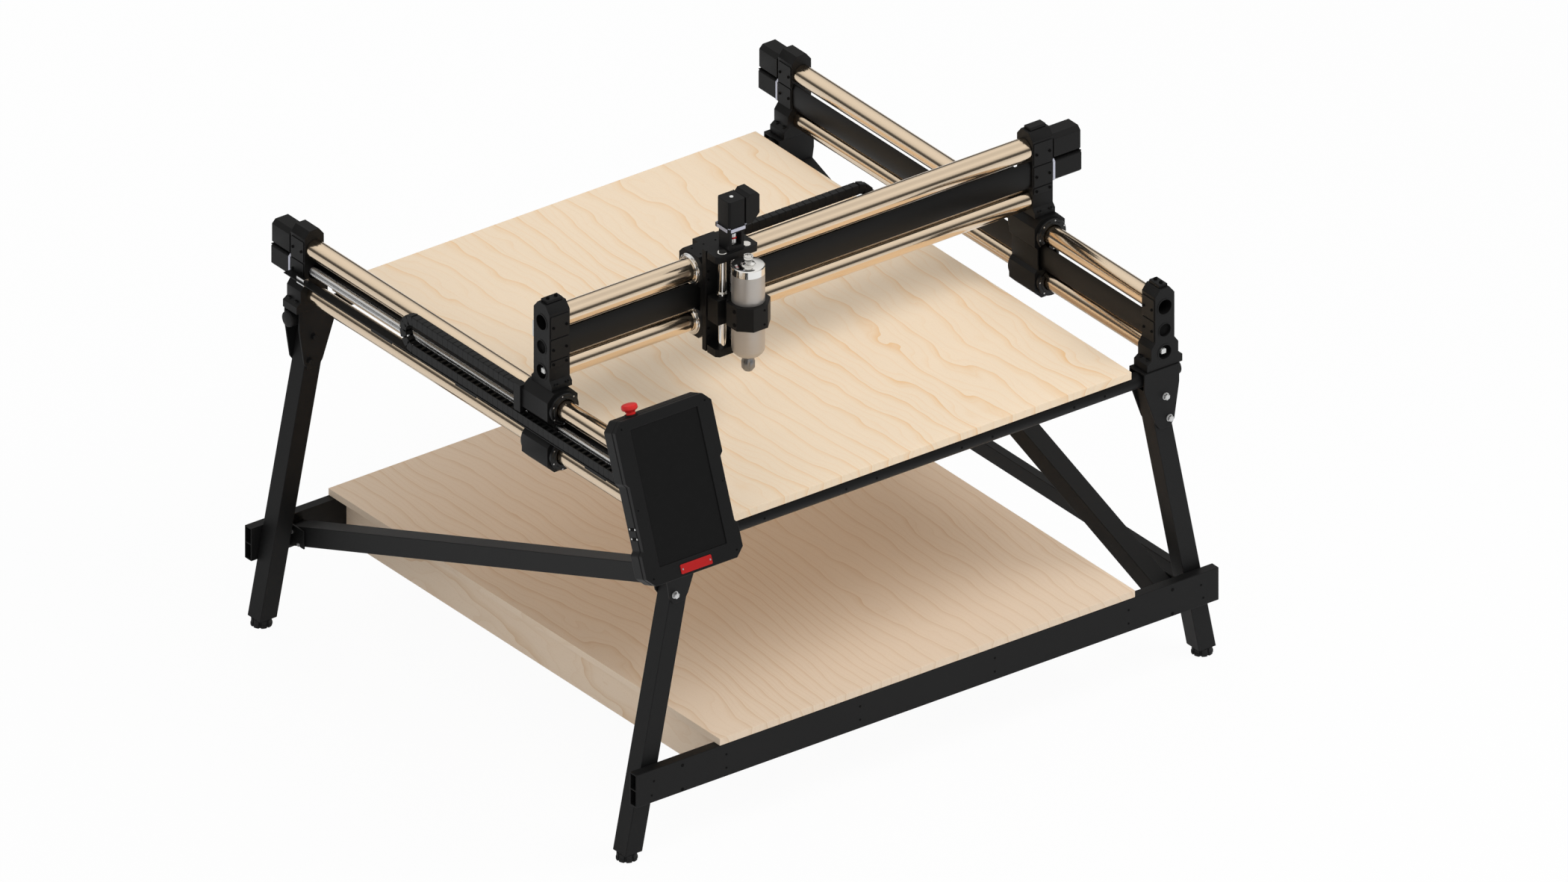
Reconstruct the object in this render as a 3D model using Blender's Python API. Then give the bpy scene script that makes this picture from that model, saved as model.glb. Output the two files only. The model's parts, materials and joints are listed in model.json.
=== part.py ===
"""A three-axis gantry router on a splayed leg stand, with a storage shelf and a touch-screen controller.

Metres, +Z up. The machine is drawn about its own centre line: X runs along the gantry, Y from the
operator's side (-Y) to the back, and Z is height above the floor. The last step centres the whole
machine's box on the origin.
"""

import math

import bmesh
import bpy
from mathutils import Matrix, Vector

GAP = 0.0003

# Stand.
LEG_SIDE = 0.050
LEG_WALL = 0.003
LEG_LEAN = 0.202
LEG_X = 0.706
LEG_X_HEIGHT = 0.700
LEG_Y = 0.718
LEG_FOOT = 0.021
LEG_TOP = 0.760
KNOB_RADIUS = 0.0262
PLUG_DEPTH = 0.025
BEAM_HALF = 0.856
BEAM_DEPTH = 0.026
BEAM_LOW = 0.160
BEAM_HIGH = 0.247
BEAM_WALL = 0.003
SHELF_HALF = 0.610
SHELF_THICK = 0.018
JOIST_FACE = 0.577
JOIST_LOW = 0.126
JOIST_CUT = (0.033, 0.026)
BRACE_X = 0.7255
BRACE_LOW = 0.191
BRACE_LOW_Y = 0.684
BRACE_RISE = 0.3651
STRETCHER_X = 0.8005
PLATE = 0.005

# Bed.
BED_TUBE_RADIUS = 0.020
BED_TUBE_HEIGHT = 0.7925
BED_TUBE_HALF = 0.767
BOARD_X = 0.6225
BOARD_Y = 0.739
BOARD_LOW = 0.813
BOARD_HIGH = 0.833

# Side rails, which carry the gantry along Y.
RAIL_X = 0.716
RAIL_TUBE_RADIUS = 0.02425
RAIL_UPPER = 0.980
RAIL_LOWER = 0.859
RAIL_SCREW = 0.918
FOOT_BASE = 0.8185
FOOT_TOP = 1.030
FEET_COLUMN_HALF = 0.0285
FOOT_FRONT = (-0.745, -0.692)
FOOT_REAR = (0.683, 0.738)
MOTOR_END_Y = 0.816
TUBE_WALL = 0.003
SCREW_RADIUS = 0.0115
PANEL_GAP = 0.0085
PANEL_REACH = 0.89

# Gantry, at rest.
GANTRY_Y = -0.242
CARRIAGE_HALF = 0.0505
CARRIAGE_WIDE = 0.0445
CARRIAGE_HIGH = RAIL_UPPER + CARRIAGE_WIDE
CARRIAGE_CUT = 0.020
CARRIAGE_CAVITY = 0.032
WAIST_OUTER = 0.0275
WAIST_INNER = 0.036
SIDE_INNER = 0.680
SIDE_OUTER = 0.740
SIDE_TOP = 1.245
GANTRY_TUBE_RADIUS = 0.0285
GANTRY_UPPER = 1.195
GANTRY_LOWER = 1.063
GANTRY_SCREW = 1.129
MOTOR_END_X = 0.827

# Cross carriage, vertical slide and spindle, at rest.
CROSS_X = -0.240
CROSS_HALF = 0.062
CROSS_LOW = 1.022
CROSS_HIGH = 1.238
CROSS_WIDE = 0.045
PLATE_LOW = 1.000
PLATE_HIGH = 1.268
PLATE_FRONT = -0.347
MOUNT_TOP = 1.3205
ROD_RADIUS = 0.010
ROD_SPREAD = 0.035
ROD_Y = -0.330
LIFT_SCREW_Y = -0.322
LIFT_SCREW_RADIUS = 0.006
SPINDLE_X = -0.244
SPINDLE_Y = -0.391
SPINDLE_RADIUS = 0.040

# Controller, leaning back towards the machine.
CASE_CENTRE = (-0.812, -0.8797, 1.0483)
CASE_WIDTH = 0.283
CASE_HEIGHT = 0.405
CASE_DEPTH = 0.050
CASE_TILT = math.radians(-20.2)
BUTTON_X = -0.070

# Cable chains: (low, high) of the whole loop, and the thickness of one run.
CHAIN_THICK = 0.0245
SIDE_CHAIN = (0.912, 1.010)
SIDE_CHAIN_X = (-0.7665, -0.7458)
SIDE_CHAIN_BEND = 0.232
SIDE_CHAIN_END = -0.1675
CROSS_CHAIN = (1.1210, 1.2190)
CROSS_CHAIN_Y = (-0.187, -0.166)
CROSS_CHAIN_BEND = 0.235
CHAIN_START = -0.660
SIDE_TRAY_Y = (-0.740, 0.735)

FINISHES = {
    "powder_black": ((0.022, 0.022, 0.023, 1.0), 0.0, 0.50),
    "anodised_black": ((0.020, 0.020, 0.021, 1.0), 0.3, 0.42),
    "moulded_black": ((0.018, 0.018, 0.019, 1.0), 0.0, 0.55),
    "chrome": ((0.80, 0.76, 0.70, 1.0), 1.0, 0.12),
    "steel": ((0.55, 0.55, 0.56, 1.0), 1.0, 0.30),
    "satin_silver": ((0.66, 0.62, 0.56, 1.0), 0.9, 0.32),
    "board": ((0.93, 0.80, 0.62, 1.0), 0.0, 0.60),
    "plywood": ((0.80, 0.65, 0.46, 1.0), 0.0, 0.60),
    "red_plastic": ((0.55, 0.02, 0.02, 1.0), 0.0, 0.35),
}


# Shapes. Each returns a closed bmesh in the machine's coordinates.


def along(axis, distance, a, b):
    """A point: distance along the axis, and a and b on the other two axes in X, Y, Z order."""
    return Vector({"X": (distance, a, b), "Y": (a, distance, b), "Z": (a, b, distance)}[axis])


def loft(rings, closed=False):
    """Rings of points joined in turn. An open loft is capped, and a closed one returns to its start."""
    shape = bmesh.new()
    loops = [[shape.verts.new(point) for point in ring] for ring in rings]
    pairs = list(zip(loops, loops[1:]))
    if closed:
        pairs.append((loops[-1], loops[0]))
    else:
        shape.faces.new(loops[0])
        shape.faces.new(loops[-1])
    for first, second in pairs:
        count = len(first)
        for i in range(count):
            j = (i + 1) % count
            shape.faces.new((first[i], first[j], second[j], second[i]))
    bmesh.ops.recalc_face_normals(shape, faces=shape.faces)
    return shape


def prism(outline, axis, start, end):
    return loft([[along(axis, place, a, b) for a, b in outline] for place in (start, end)])


def block(low, high):
    outline = [(low[0], low[1]), (high[0], low[1]), (high[0], high[1]), (low[0], high[1])]
    return prism(outline, "Z", low[2], high[2])


def circle(centre, radius, count):
    turn = 2 * math.pi / count
    return [
        (centre[0] + radius * math.cos(i * turn), centre[1] + radius * math.sin(i * turn))
        for i in range(count)
    ]


def turned(axis, centre, profile, count=24):
    """A profile of (distance along the axis, radius) spun about the axis."""
    return loft([[along(axis, d, a, b) for a, b in circle(centre, r, count)] for d, r in profile])


def rod(axis, centre, radius, start, end, count=24):
    return turned(axis, centre, [(start, radius), (end, radius)], count)


def pipe(axis, centre, radius, wall, start, end, count=24):
    inner = radius - wall
    steps = [(start, radius), (end, radius), (end, inner), (start, inner)]
    rings = [[along(axis, d, a, b) for a, b in circle(centre, r, count)] for d, r in steps]
    return loft(rings, closed=True)


def square_tube(low, high, side_a, side_b, half, wall):
    """A square tube from the point low to the point high. side_a and side_b span its end faces."""
    corners = [(-1, -1), (1, -1), (1, 1), (-1, 1)]
    a = Vector(side_a)
    b = Vector(side_b)

    def ring(centre, size):
        return [Vector(centre) + a * (i * size) + b * (j * size) for i, j in corners]

    rings = [ring(low, half), ring(high, half), ring(high, half - wall), ring(low, half - wall)]
    return loft(rings, closed=True)


def chamfered(low, high, cut):
    """A rectangle's outline with its corners cut off."""
    (x0, y0), (x1, y1) = low, high
    return [
        (x0 + cut, y0), (x1 - cut, y0), (x1, y0 + cut), (x1, y1 - cut),
        (x1 - cut, y1), (x0 + cut, y1), (x0, y1 - cut), (x0, y0 + cut),
    ]


# Objects.


def material(name):
    made = bpy.data.materials.get(name)
    if made is None:
        colour, metallic, roughness = FINISHES[name]
        made = bpy.data.materials.new(name)
        made.use_nodes = True
        shader = made.node_tree.nodes["Principled BSDF"]
        shader.inputs["Base Color"].default_value = colour
        shader.inputs["Metallic"].default_value = metallic
        shader.inputs["Roughness"].default_value = roughness
    return made


def mesh_of(shape, name):
    mesh = bpy.data.meshes.new(name)
    shape.to_mesh(mesh)
    shape.free()
    return mesh


def helper(shape):
    """A hidden object that a Boolean reads."""
    obj = bpy.data.objects.new("helper", mesh_of(shape, "helper"))
    bpy.context.collection.objects.link(obj)
    obj.hide_render = True
    obj.display_type = "WIRE"
    return obj


def combined(shape, joins, cuts):
    """The shape's mesh after its cuts and joins, with the helpers removed again."""
    body = helper(shape)
    helpers = []
    steps = [("DIFFERENCE", cut) for cut in cuts] + [("UNION", join) for join in joins]
    for operation, other in steps:
        tool = helper(other)
        helpers.append(tool)
        modifier = body.modifiers.new(operation, "BOOLEAN")
        modifier.operation = operation
        modifier.object = tool
    graph = bpy.context.evaluated_depsgraph_get()
    mesh = bpy.data.meshes.new_from_object(body.evaluated_get(graph))
    for obj in [body, *helpers]:
        bpy.data.objects.remove(obj)
    return mesh


def anchor(name, place, parent):
    """An empty on a joint's axis. place is in the machine's coordinates."""
    obj = bpy.data.objects.new(name, None)
    bpy.context.collection.objects.link(obj)
    obj.parent = parent
    obj["place"] = place
    home = Vector(parent["place"]) if parent else Vector()
    obj.location = Vector(place) - home
    return obj


def node(name, shape, finish, parent, joins=(), cuts=(), bevel=0.0):
    """A named piece under an anchor. joins are merged into the shape after cuts are taken out."""
    mesh = combined(shape, joins, cuts) if joins or cuts else mesh_of(shape, name)
    mesh.name = name
    mesh.transform(Matrix.Translation(-Vector(parent["place"])))
    mesh.materials.append(material(finish))
    mesh.shade_smooth()
    mesh.set_sharp_from_angle(angle=math.radians(35))
    obj = bpy.data.objects.new(name, mesh)
    bpy.context.collection.objects.link(obj)
    obj.parent = parent
    if bevel:
        modifier = obj.modifiers.new("edges", "BEVEL")
        modifier.width = bevel
        modifier.segments = 1
        modifier.limit_method = "ANGLE"
    return obj


# Stand.

SIDES = [("left", -1), ("right", 1)]
CORNERS = [
    ("front_left", -1, -1),
    ("front_right", 1, -1),
    ("rear_left", -1, 1),
    ("rear_right", 1, 1),
]


def leg_x(height):
    """How far from the centre line a leg's axis is at a height. The legs splay outwards."""
    return LEG_X + LEG_LEAN * (LEG_X_HEIGHT - height)


def leg(corner, side, end, root):
    low = (side * leg_x(LEG_FOOT), end * LEG_Y, LEG_FOOT)
    high = (side * leg_x(LEG_TOP), end * LEG_Y, LEG_TOP)
    shape = square_tube(low, high, (1, 0, 0), (0, 1, 0), LEG_SIDE / 2, LEG_WALL)
    node(f"leg_{corner}", shape, "powder_black", root)


def levelling_foot(corner, side, end, root):
    """A round knob under the leg, with a plug that fits inside the leg."""
    x = side * leg_x(LEG_FOOT / 2)
    y = end * LEG_Y
    top = LEG_FOOT - GAP
    profile = [(0, 0.9 * KNOB_RADIUS), (0.003, KNOB_RADIUS), (top - 0.003, KNOB_RADIUS), (top, 0.9 * KNOB_RADIUS)]
    knob = turned("Z", (x, y), profile, 24)
    half = LEG_SIDE / 2 - LEG_WALL - 2 * GAP
    plug_low = LEG_FOOT - 2 * GAP
    plug_high = LEG_FOOT + PLUG_DEPTH
    ends = [
        [(side * leg_x(z) + i * half, y + j * half, z) for i, j in ((-1, -1), (1, -1), (1, 1), (-1, 1))]
        for z in (plug_low, plug_high)
    ]
    node(f"levelling_foot_{corner}", knob, "moulded_black", root, joins=[loft(ends)])


def leg_bracket(corner, side, end, root):
    """Two tapered plates either side of the leg and the bed tube, joined by a web over the tube."""
    outline = [
        (0.6535, 0.8182), (0.7565, 0.8182), (0.7565, 0.770), (0.742, 0.675),
        (0.730, 0.657), (0.699, 0.657), (0.687, 0.675), (0.6535, 0.770),
    ]
    shape = [(side * x, z) for x, z in outline]
    near = LEG_Y + LEG_SIDE / 2 + 0.0004
    far = LEG_Y - LEG_SIDE / 2 - 0.0004
    outer = prism(shape, "Y", end * near, end * (near + PLATE))
    inner = prism(shape, "Y", end * far, end * (far - PLATE))
    web = prism([(side * 0.6535, 0.8132), (side * 0.7565, 0.8132), (side * 0.7565, 0.8182),
                 (side * 0.6535, 0.8182)], "Y", end * (far - PLATE), end * (near + PLATE))
    node(f"leg_bracket_{corner}", outer, "powder_black", root, joins=[inner, web])


def lower_beams(root):
    """Two-chamber beams on the outer faces of the legs, open at their ends."""
    near = LEG_Y + LEG_SIDE / 2 + 0.0007
    middle = (BEAM_LOW + BEAM_HIGH) / 2
    for name, end in (("front", -1), ("rear", 1)):
        y = sorted((end * near, end * (near + BEAM_DEPTH)))
        shape = block((-BEAM_HALF, y[0], BEAM_LOW), (BEAM_HALF, y[1], BEAM_HIGH))
        chambers = [
            block(
                (-BEAM_HALF - 0.01, y[0] + BEAM_WALL, low + BEAM_WALL),
                (BEAM_HALF + 0.01, y[1] - BEAM_WALL, high - BEAM_WALL),
            )
            for low, high in ((BEAM_LOW, middle + BEAM_WALL / 2), (middle - BEAM_WALL / 2, BEAM_HIGH))
        ]
        node(f"lower_beam_{name}", shape, "powder_black", root, cuts=chambers)


def shelf(root):
    outer = LEG_Y + LEG_SIDE / 2 + 0.0007 + BEAM_DEPTH
    low = BEAM_HIGH + GAP
    shape = block((-SHELF_HALF, -outer, low), (SHELF_HALF, outer, low + SHELF_THICK))
    node("storage_shelf", shape, "plywood", root)
    reach = LEG_Y + LEG_SIDE / 2 + 0.0004
    cut_y, cut_z = JOIST_CUT
    outline = [(-reach, BEAM_HIGH), (-reach, JOIST_LOW + cut_z), (cut_y - reach, JOIST_LOW),
               (reach - cut_y, JOIST_LOW), (reach, JOIST_LOW + cut_z), (reach, BEAM_HIGH)]
    for name, side in SIDES:
        joist = prism(outline, "X", side * JOIST_FACE, side * (JOIST_FACE - SHELF_THICK))
        node(f"shelf_joist_{name}", joist, "plywood", root)


def braces(root):
    """Diagonal square tubes: on the left from the back's base to the front's top, on the right mirrored."""
    half_height = LEG_SIDE / 2 / math.cos(math.atan(BRACE_RISE))
    start = LEG_Y + LEG_SIDE / 2 + 0.0004
    stop = LEG_Y - LEG_SIDE / 2 - PLATE - 0.0008
    for name, side, end in (("left", -1, 1), ("right", 1, -1)):
        z0 = BRACE_LOW + half_height + BRACE_RISE * (BRACE_LOW_Y - start)
        z1 = BRACE_LOW + half_height + BRACE_RISE * (BRACE_LOW_Y + stop)
        low = (side * BRACE_X, end * start, z0)
        high = (side * BRACE_X, -end * stop, z1)
        upright = (0, 0, half_height / (LEG_SIDE / 2))
        shape = square_tube(low, high, (1, 0, 0), upright, LEG_SIDE / 2, LEG_WALL)
        node(f"brace_{name}", shape, "powder_black", root)
    reach = LEG_Y - LEG_SIDE / 2 - GAP
    stretcher = block((STRETCHER_X - 0.012, -reach, 0.197), (STRETCHER_X + 0.012, reach, 0.238))
    node("stretcher_right", stretcher, "powder_black", root)


def bed(root):
    for name, end in (("front", -1), ("rear", 1)):
        shape = pipe("X", (end * LEG_Y, BED_TUBE_HEIGHT), BED_TUBE_RADIUS, TUBE_WALL,
                     -BED_TUBE_HALF, BED_TUBE_HALF)
        node(f"bed_tube_{name}", shape, "powder_black", root)
    reach = LEG_Y - BED_TUBE_RADIUS - GAP
    top = BOARD_LOW - 0.0005
    rail = block((-0.020, -reach, top - 0.040), (0.020, reach, top))
    node("bed_rail", rail, "powder_black", root)
    board = block((-BOARD_X, -BOARD_Y, BOARD_LOW), (BOARD_X, BOARD_Y, BOARD_HIGH))
    node("spoilboard", board, "board", root)


# Side rails.

def foot_outline(centre):
    """A flared base, a straight column and a top with cut corners."""
    half = [
        (0.052, FOOT_BASE), (0.052, 0.838), (0.040, 0.846), (0.040, 0.876),
        (FEET_COLUMN_HALF, 0.892), (FEET_COLUMN_HALF, 1.012), (0.014, FOOT_TOP),
    ]
    return [(centre + x, z) for x, z in half] + [(centre - x, z) for x, z in reversed(half)]


def rail_feet(root):
    for row, (start, end), recess in (("front", FOOT_FRONT, -1), ("rear", FOOT_REAR, 1)):
        for name, side in SIDES:
            x = side * RAIL_X
            shape = prism(foot_outline(x), "Y", start, end)
            face = start if recess < 0 else end
            cuts = [
                rod("Y", (x, RAIL_UPPER), 0.019, start - 0.01, end + 0.01, 20),
                rod("Y", (x, RAIL_SCREW), 0.0165, start - 0.01, end + 0.01, 20),
                rod("Y", (x, RAIL_LOWER), 0.018, face - 0.012, face + 0.012, 20),
            ]
            node(f"rail_foot_{row}_{name}", shape, "anodised_black", root, cuts=cuts)


def panel_outline(centre, side, low, high):
    """A flat-backed panel whose face swells towards its middle."""
    face = [(0.0190, low), (0.0215, low), (0.0255, low + 0.014), (0.0255, high - 0.014),
            (0.0215, high), (0.0190, high)]
    return [(centre + side * x, z) for x, z in face]


def rails(root):
    start = FOOT_FRONT[1] + GAP
    end = FOOT_REAR[0] - GAP
    for name, side in SIDES:
        x = side * RAIL_X
        for level, z in (("upper", RAIL_UPPER), ("lower", RAIL_LOWER)):
            shape = pipe("Y", (x, z), RAIL_TUBE_RADIUS, TUBE_WALL, start, end, 28)
            node(f"y_tube_{level}_{name}", shape, "chrome", root)
        low = RAIL_LOWER + RAIL_TUBE_RADIUS + PANEL_GAP
        high = RAIL_UPPER - PANEL_REACH * RAIL_TUBE_RADIUS
        panel = prism(panel_outline(x, -side, low, high), "Y", start, end)
        node(f"y_panel_{name}", panel, "anodised_black", root)


def motor(name, axis, centre, height, start, end, finish, root):
    """A square motor under its cover, both on one end plate."""
    half = 0.0285
    body = prism(chamfered((centre - half, height - half), (centre + half, height + half), 0.006),
                 axis, start, end)
    cover = prism(chamfered((centre - half, height + 0.026), (centre + half, height + 0.093), 0.010),
                  axis, start + 0.004, end - 0.004)
    node(name, body, finish, root, joins=[cover])


def side_motors(root):
    for name, side in SIDES:
        start = FOOT_REAR[1] + GAP
        motor(f"y_motor_{name}", "Y", side * RAIL_X, RAIL_SCREW, start, MOTOR_END_Y, "anodised_black", root)


def chain_outline(start, bend, low, high):
    """A loop lying on its side: a lower run from start, half a turn at bend, and nothing above start."""
    outer = (high - low) / 2
    inner = outer - CHAIN_THICK
    middle = (low + high) / 2
    steps = 10
    turns = [math.pi * i / steps - math.pi / 2 for i in range(steps + 1)]
    outside = [(bend + outer * math.cos(t), middle + outer * math.sin(t)) for t in turns]
    inside = [(bend + inner * math.cos(t), middle + inner * math.sin(t)) for t in reversed(turns)]
    upper, lower = start
    return (
        [(lower, low), *outside, (upper, high), (upper, high - CHAIN_THICK), *inside]
        + [(lower, low + CHAIN_THICK)]
    )


def side_chain(root):
    """The cable chain on the left, and the tray that its lower run lies in."""
    outline = chain_outline((SIDE_CHAIN_END, CHAIN_START), SIDE_CHAIN_BEND, *SIDE_CHAIN)
    node("y_drag_chain", prism(outline, "X", *SIDE_CHAIN_X), "moulded_black", root)
    floor = SIDE_CHAIN[0] - 2 * GAP
    low_x, high_x = SIDE_CHAIN_X
    start, end = SIDE_TRAY_Y
    base = block((low_x - 0.001, start, floor - 0.0025), (high_x + 0.0005, end, floor))
    foot_face = -RAIL_X - FEET_COLUMN_HALF - GAP
    tabs = [block((high_x, y, floor - 0.0025), (foot_face, y + 0.035, floor + 0.012)) for y in (start, end - 0.035)]
    clips = [block((low_x - 0.001, y, floor - 0.0085), (low_x + 0.001, y + 0.082, floor)) for y in (-0.530, -0.021, 0.310)]
    node("y_chain_tray", base, "powder_black", root, joins=[*tabs, *clips])


# Moving pieces.


def twin_octagon(centre, lower, upper, half, cut, waists):
    """Two octagons, one over the other, and a narrower middle. waists are its reach to either side."""
    outline = []
    for way, waist in ((1, waists[1]), (-1, waists[0])):
        slope = half - waist
        half_outline = [
            (half - cut, lower - half), (half, lower - half + cut), (half, lower + half - cut),
            (waist, lower + half - cut + slope), (waist, upper - half + cut - slope),
            (half, upper - half + cut), (half, upper + half - cut), (half - cut, upper + half),
        ]
        if way < 0:
            half_outline.reverse()
        outline += [(centre + way * a, z) for a, z in half_outline]
    return outline


def carriage(name, axis, outline, centre, span, heights, cavity, tube, side, parent, extra=()):
    """A block that runs on two tubes and a screw. It is hollow between the tubes, where the rail's
    panel passes on one side, and its nut hangs from the wall on the other.
    """
    lower, screw, upper = heights
    start, end = span
    middle = (start + end) / 2
    room = tube + 0.0065
    clear = 0.020
    window_a = sorted((centre + side * cavity, centre - side * 0.020))
    slot_a = sorted((centre + side * 0.0175, centre + side * 0.0275))
    slot_high = upper - PANEL_REACH * tube + 0.0022

    def opening(across, low, high):
        corners = [(across[0], low), (across[1], low), (across[1], high), (across[0], high)]
        return prism(corners, axis, start - clear, end + clear)

    cuts = [
        rod(axis, (centre, lower), tube + 0.0012, start - clear, end + clear, 28),
        rod(axis, (centre, upper), tube + 0.0012, start - clear, end + clear, 28),
        opening(window_a, lower + room, upper - room),
        opening(slot_a, upper - room - GAP, slot_high),
    ]
    nut = pipe(axis, (centre, screw), 0.0165, 0.0040, middle - 0.030, middle + 0.030, 20)
    web_a = sorted((centre - side * 0.0145, centre - side * 0.024))
    web = prism([(web_a[0], screw - 0.006), (web_a[1], screw - 0.006), (web_a[1], screw + 0.006),
                 (web_a[0], screw + 0.006)], axis, middle - 0.030, middle + 0.030)
    node(name, shape=prism(outline, axis, start, end), finish="anodised_black", parent=parent,
         joins=[nut, web, *extra], cuts=cuts)


def side_outline():
    half = [
        (0.040, CARRIAGE_HIGH + GAP), (0.040, 1.038), (0.031, 1.048), (0.031, 1.226), (0.015, SIDE_TOP),
    ]
    return [(GANTRY_Y + y, z) for y, z in half] + [(GANTRY_Y - y, z) for y, z in reversed(half)]


def gantry(parent):
    heights = (RAIL_LOWER, RAIL_SCREW, RAIL_UPPER)
    start, end = GANTRY_Y - CARRIAGE_HALF, GANTRY_Y + CARRIAGE_HALF
    arm = block((SIDE_CHAIN_X[0], end - 0.0015, 0.9400), (SIDE_CHAIN_X[1], SIDE_CHAIN_END - GAP, 1.0110))
    for name, side in SIDES:
        centre = side * RAIL_X
        waists = (WAIST_OUTER, WAIST_INNER) if side < 0 else (WAIST_INNER, WAIST_OUTER)
        outline = twin_octagon(centre, RAIL_LOWER, RAIL_UPPER, CARRIAGE_WIDE, CARRIAGE_CUT, waists)
        carriage(f"y_carriage_{name}", "Y", outline, centre, (start, end), heights, CARRIAGE_CAVITY,
                 RAIL_TUBE_RADIUS, -side, parent, [arm] if side < 0 else [])
        x = sorted((side * SIDE_INNER, side * SIDE_OUTER))
        cuts = [rod("X", (GANTRY_Y, GANTRY_SCREW), 0.0165, x[0] - 0.01, x[1] + 0.01, 20)]
        cuts.append(rod("X", (GANTRY_Y, GANTRY_UPPER), 0.022, x[0] - 0.01, x[1] + 0.01, 24))
        recess = sorted((side * (SIDE_OUTER - 0.012), side * (SIDE_OUTER + 0.010)))
        cuts.append(rod("X", (GANTRY_Y, GANTRY_LOWER), 0.022, *recess, 24))
        node(f"gantry_side_{name}", prism(side_outline(), "X", *x), "anodised_black", parent, cuts=cuts)
    reach = SIDE_INNER - GAP
    for level, z in (("upper", GANTRY_UPPER), ("lower", GANTRY_LOWER)):
        tube = pipe("X", (GANTRY_Y, z), GANTRY_TUBE_RADIUS, TUBE_WALL, -reach, reach, 32)
        node(f"x_tube_{level}", tube, "chrome", parent)
    low = GANTRY_LOWER + GANTRY_TUBE_RADIUS + PANEL_GAP
    high = GANTRY_UPPER - PANEL_REACH * GANTRY_TUBE_RADIUS
    panel = prism(panel_outline(GANTRY_Y, -1, low, high), "X", -reach, reach)
    node("gantry_panel", panel, "anodised_black", parent)
    motor("x_motor", "X", GANTRY_Y, GANTRY_SCREW, SIDE_OUTER + GAP, MOTOR_END_X, "anodised_black", parent)
    outline = chain_outline((-0.1765, CHAIN_START), CROSS_CHAIN_BEND, *CROSS_CHAIN)
    node("x_drag_chain", prism(outline, "Y", *CROSS_CHAIN_Y), "moulded_black", parent)


def cross_carriage(parent):
    heights = (GANTRY_LOWER, GANTRY_SCREW, GANTRY_UPPER)
    x0, x1 = CROSS_X - CROSS_HALF, CROSS_X + CROSS_HALF
    outline = chamfered((GANTRY_Y - CROSS_WIDE, CROSS_LOW), (GANTRY_Y + CROSS_WIDE, CROSS_HIGH), 0.014)
    chain_arm = block((-0.240, -0.202, 1.1965), (-0.177, CROSS_CHAIN_Y[1], 1.2225))
    carriage("x_carriage", "X", outline, GANTRY_Y, (x0, x1), heights, CROSS_WIDE - 0.008,
             GANTRY_TUBE_RADIUS, -1, parent, [chain_arm])
    back = GANTRY_Y - CROSS_WIDE - GAP
    plate = block((x0, back - 0.015, PLATE_LOW), (x1, back, PLATE_HIGH))
    shelf_outline = chamfered((x0, PLATE_FRONT), (x1, back - 0.012), 0.008)
    top = prism(shelf_outline, "Z", PLATE_HIGH - 0.018, PLATE_HIGH)
    bottom = prism(shelf_outline, "Z", PLATE_LOW, PLATE_LOW + 0.020)
    rods = [rod("Z", (CROSS_X + s * ROD_SPREAD, ROD_Y), ROD_RADIUS, PLATE_LOW + 0.015, PLATE_HIGH - 0.015, 20)
            for s in (-1, 1)]
    mount = block((CROSS_X - 0.0215, -0.3405, PLATE_HIGH - 0.002), (CROSS_X + 0.0215, -0.2985, MOUNT_TOP))
    cuts = [
        rod("Z", (CROSS_X, LIFT_SCREW_Y), 0.0105, PLATE_HIGH - 0.030, MOUNT_TOP + 0.010, 20),
        block((CROSS_X - 0.0135, -0.350, 1.2800), (CROSS_X + 0.0135, -0.290, 1.3140)),
    ]
    node("z_frame", plate, "anodised_black", parent, joins=[top, bottom, *rods, mount])
    cut_node("z_frame", cuts, parent)
    z_motor(parent)


def cut_node(name, cuts, parent):
    """Takes more shapes out of a finished piece."""
    obj = bpy.data.objects[name]
    place = Vector(parent["place"])
    shape = bmesh.new()
    shape.from_mesh(obj.data)
    bmesh.ops.translate(shape, vec=place, verts=shape.verts)
    mesh = combined(shape, (), cuts)
    mesh.transform(Matrix.Translation(-place))
    finish = obj.data.materials[0]
    obj.data = mesh
    mesh.materials.clear()
    mesh.materials.append(finish)
    mesh.name = name


def z_motor(parent):
    """A square motor on the mount, with its driver cover on the right."""
    y0, y1 = -0.3465, -0.2925
    flange = block((CROSS_X - 0.0275, y0, MOUNT_TOP + GAP), (CROSS_X + 0.0275, y1, 1.332))
    body = prism(chamfered((CROSS_X - 0.025, y0 + 0.002), (CROSS_X + 0.025, y1 - 0.002), 0.005),
                 "Z", 1.331, 1.402)
    side = [(0.024, 1.338), (0.032, 1.330), (0.044, 1.330), (0.064, 1.350), (0.064, 1.399), (0.057, 1.407),
            (0.036, 1.407), (0.030, 1.400), (0.024, 1.398)]
    cover = prism([(CROSS_X + x, z) for x, z in side], "Y", y0 + 0.001, y1 - 0.001)
    node("z_motor", flange, "anodised_black", parent, joins=[body, cover])


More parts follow.
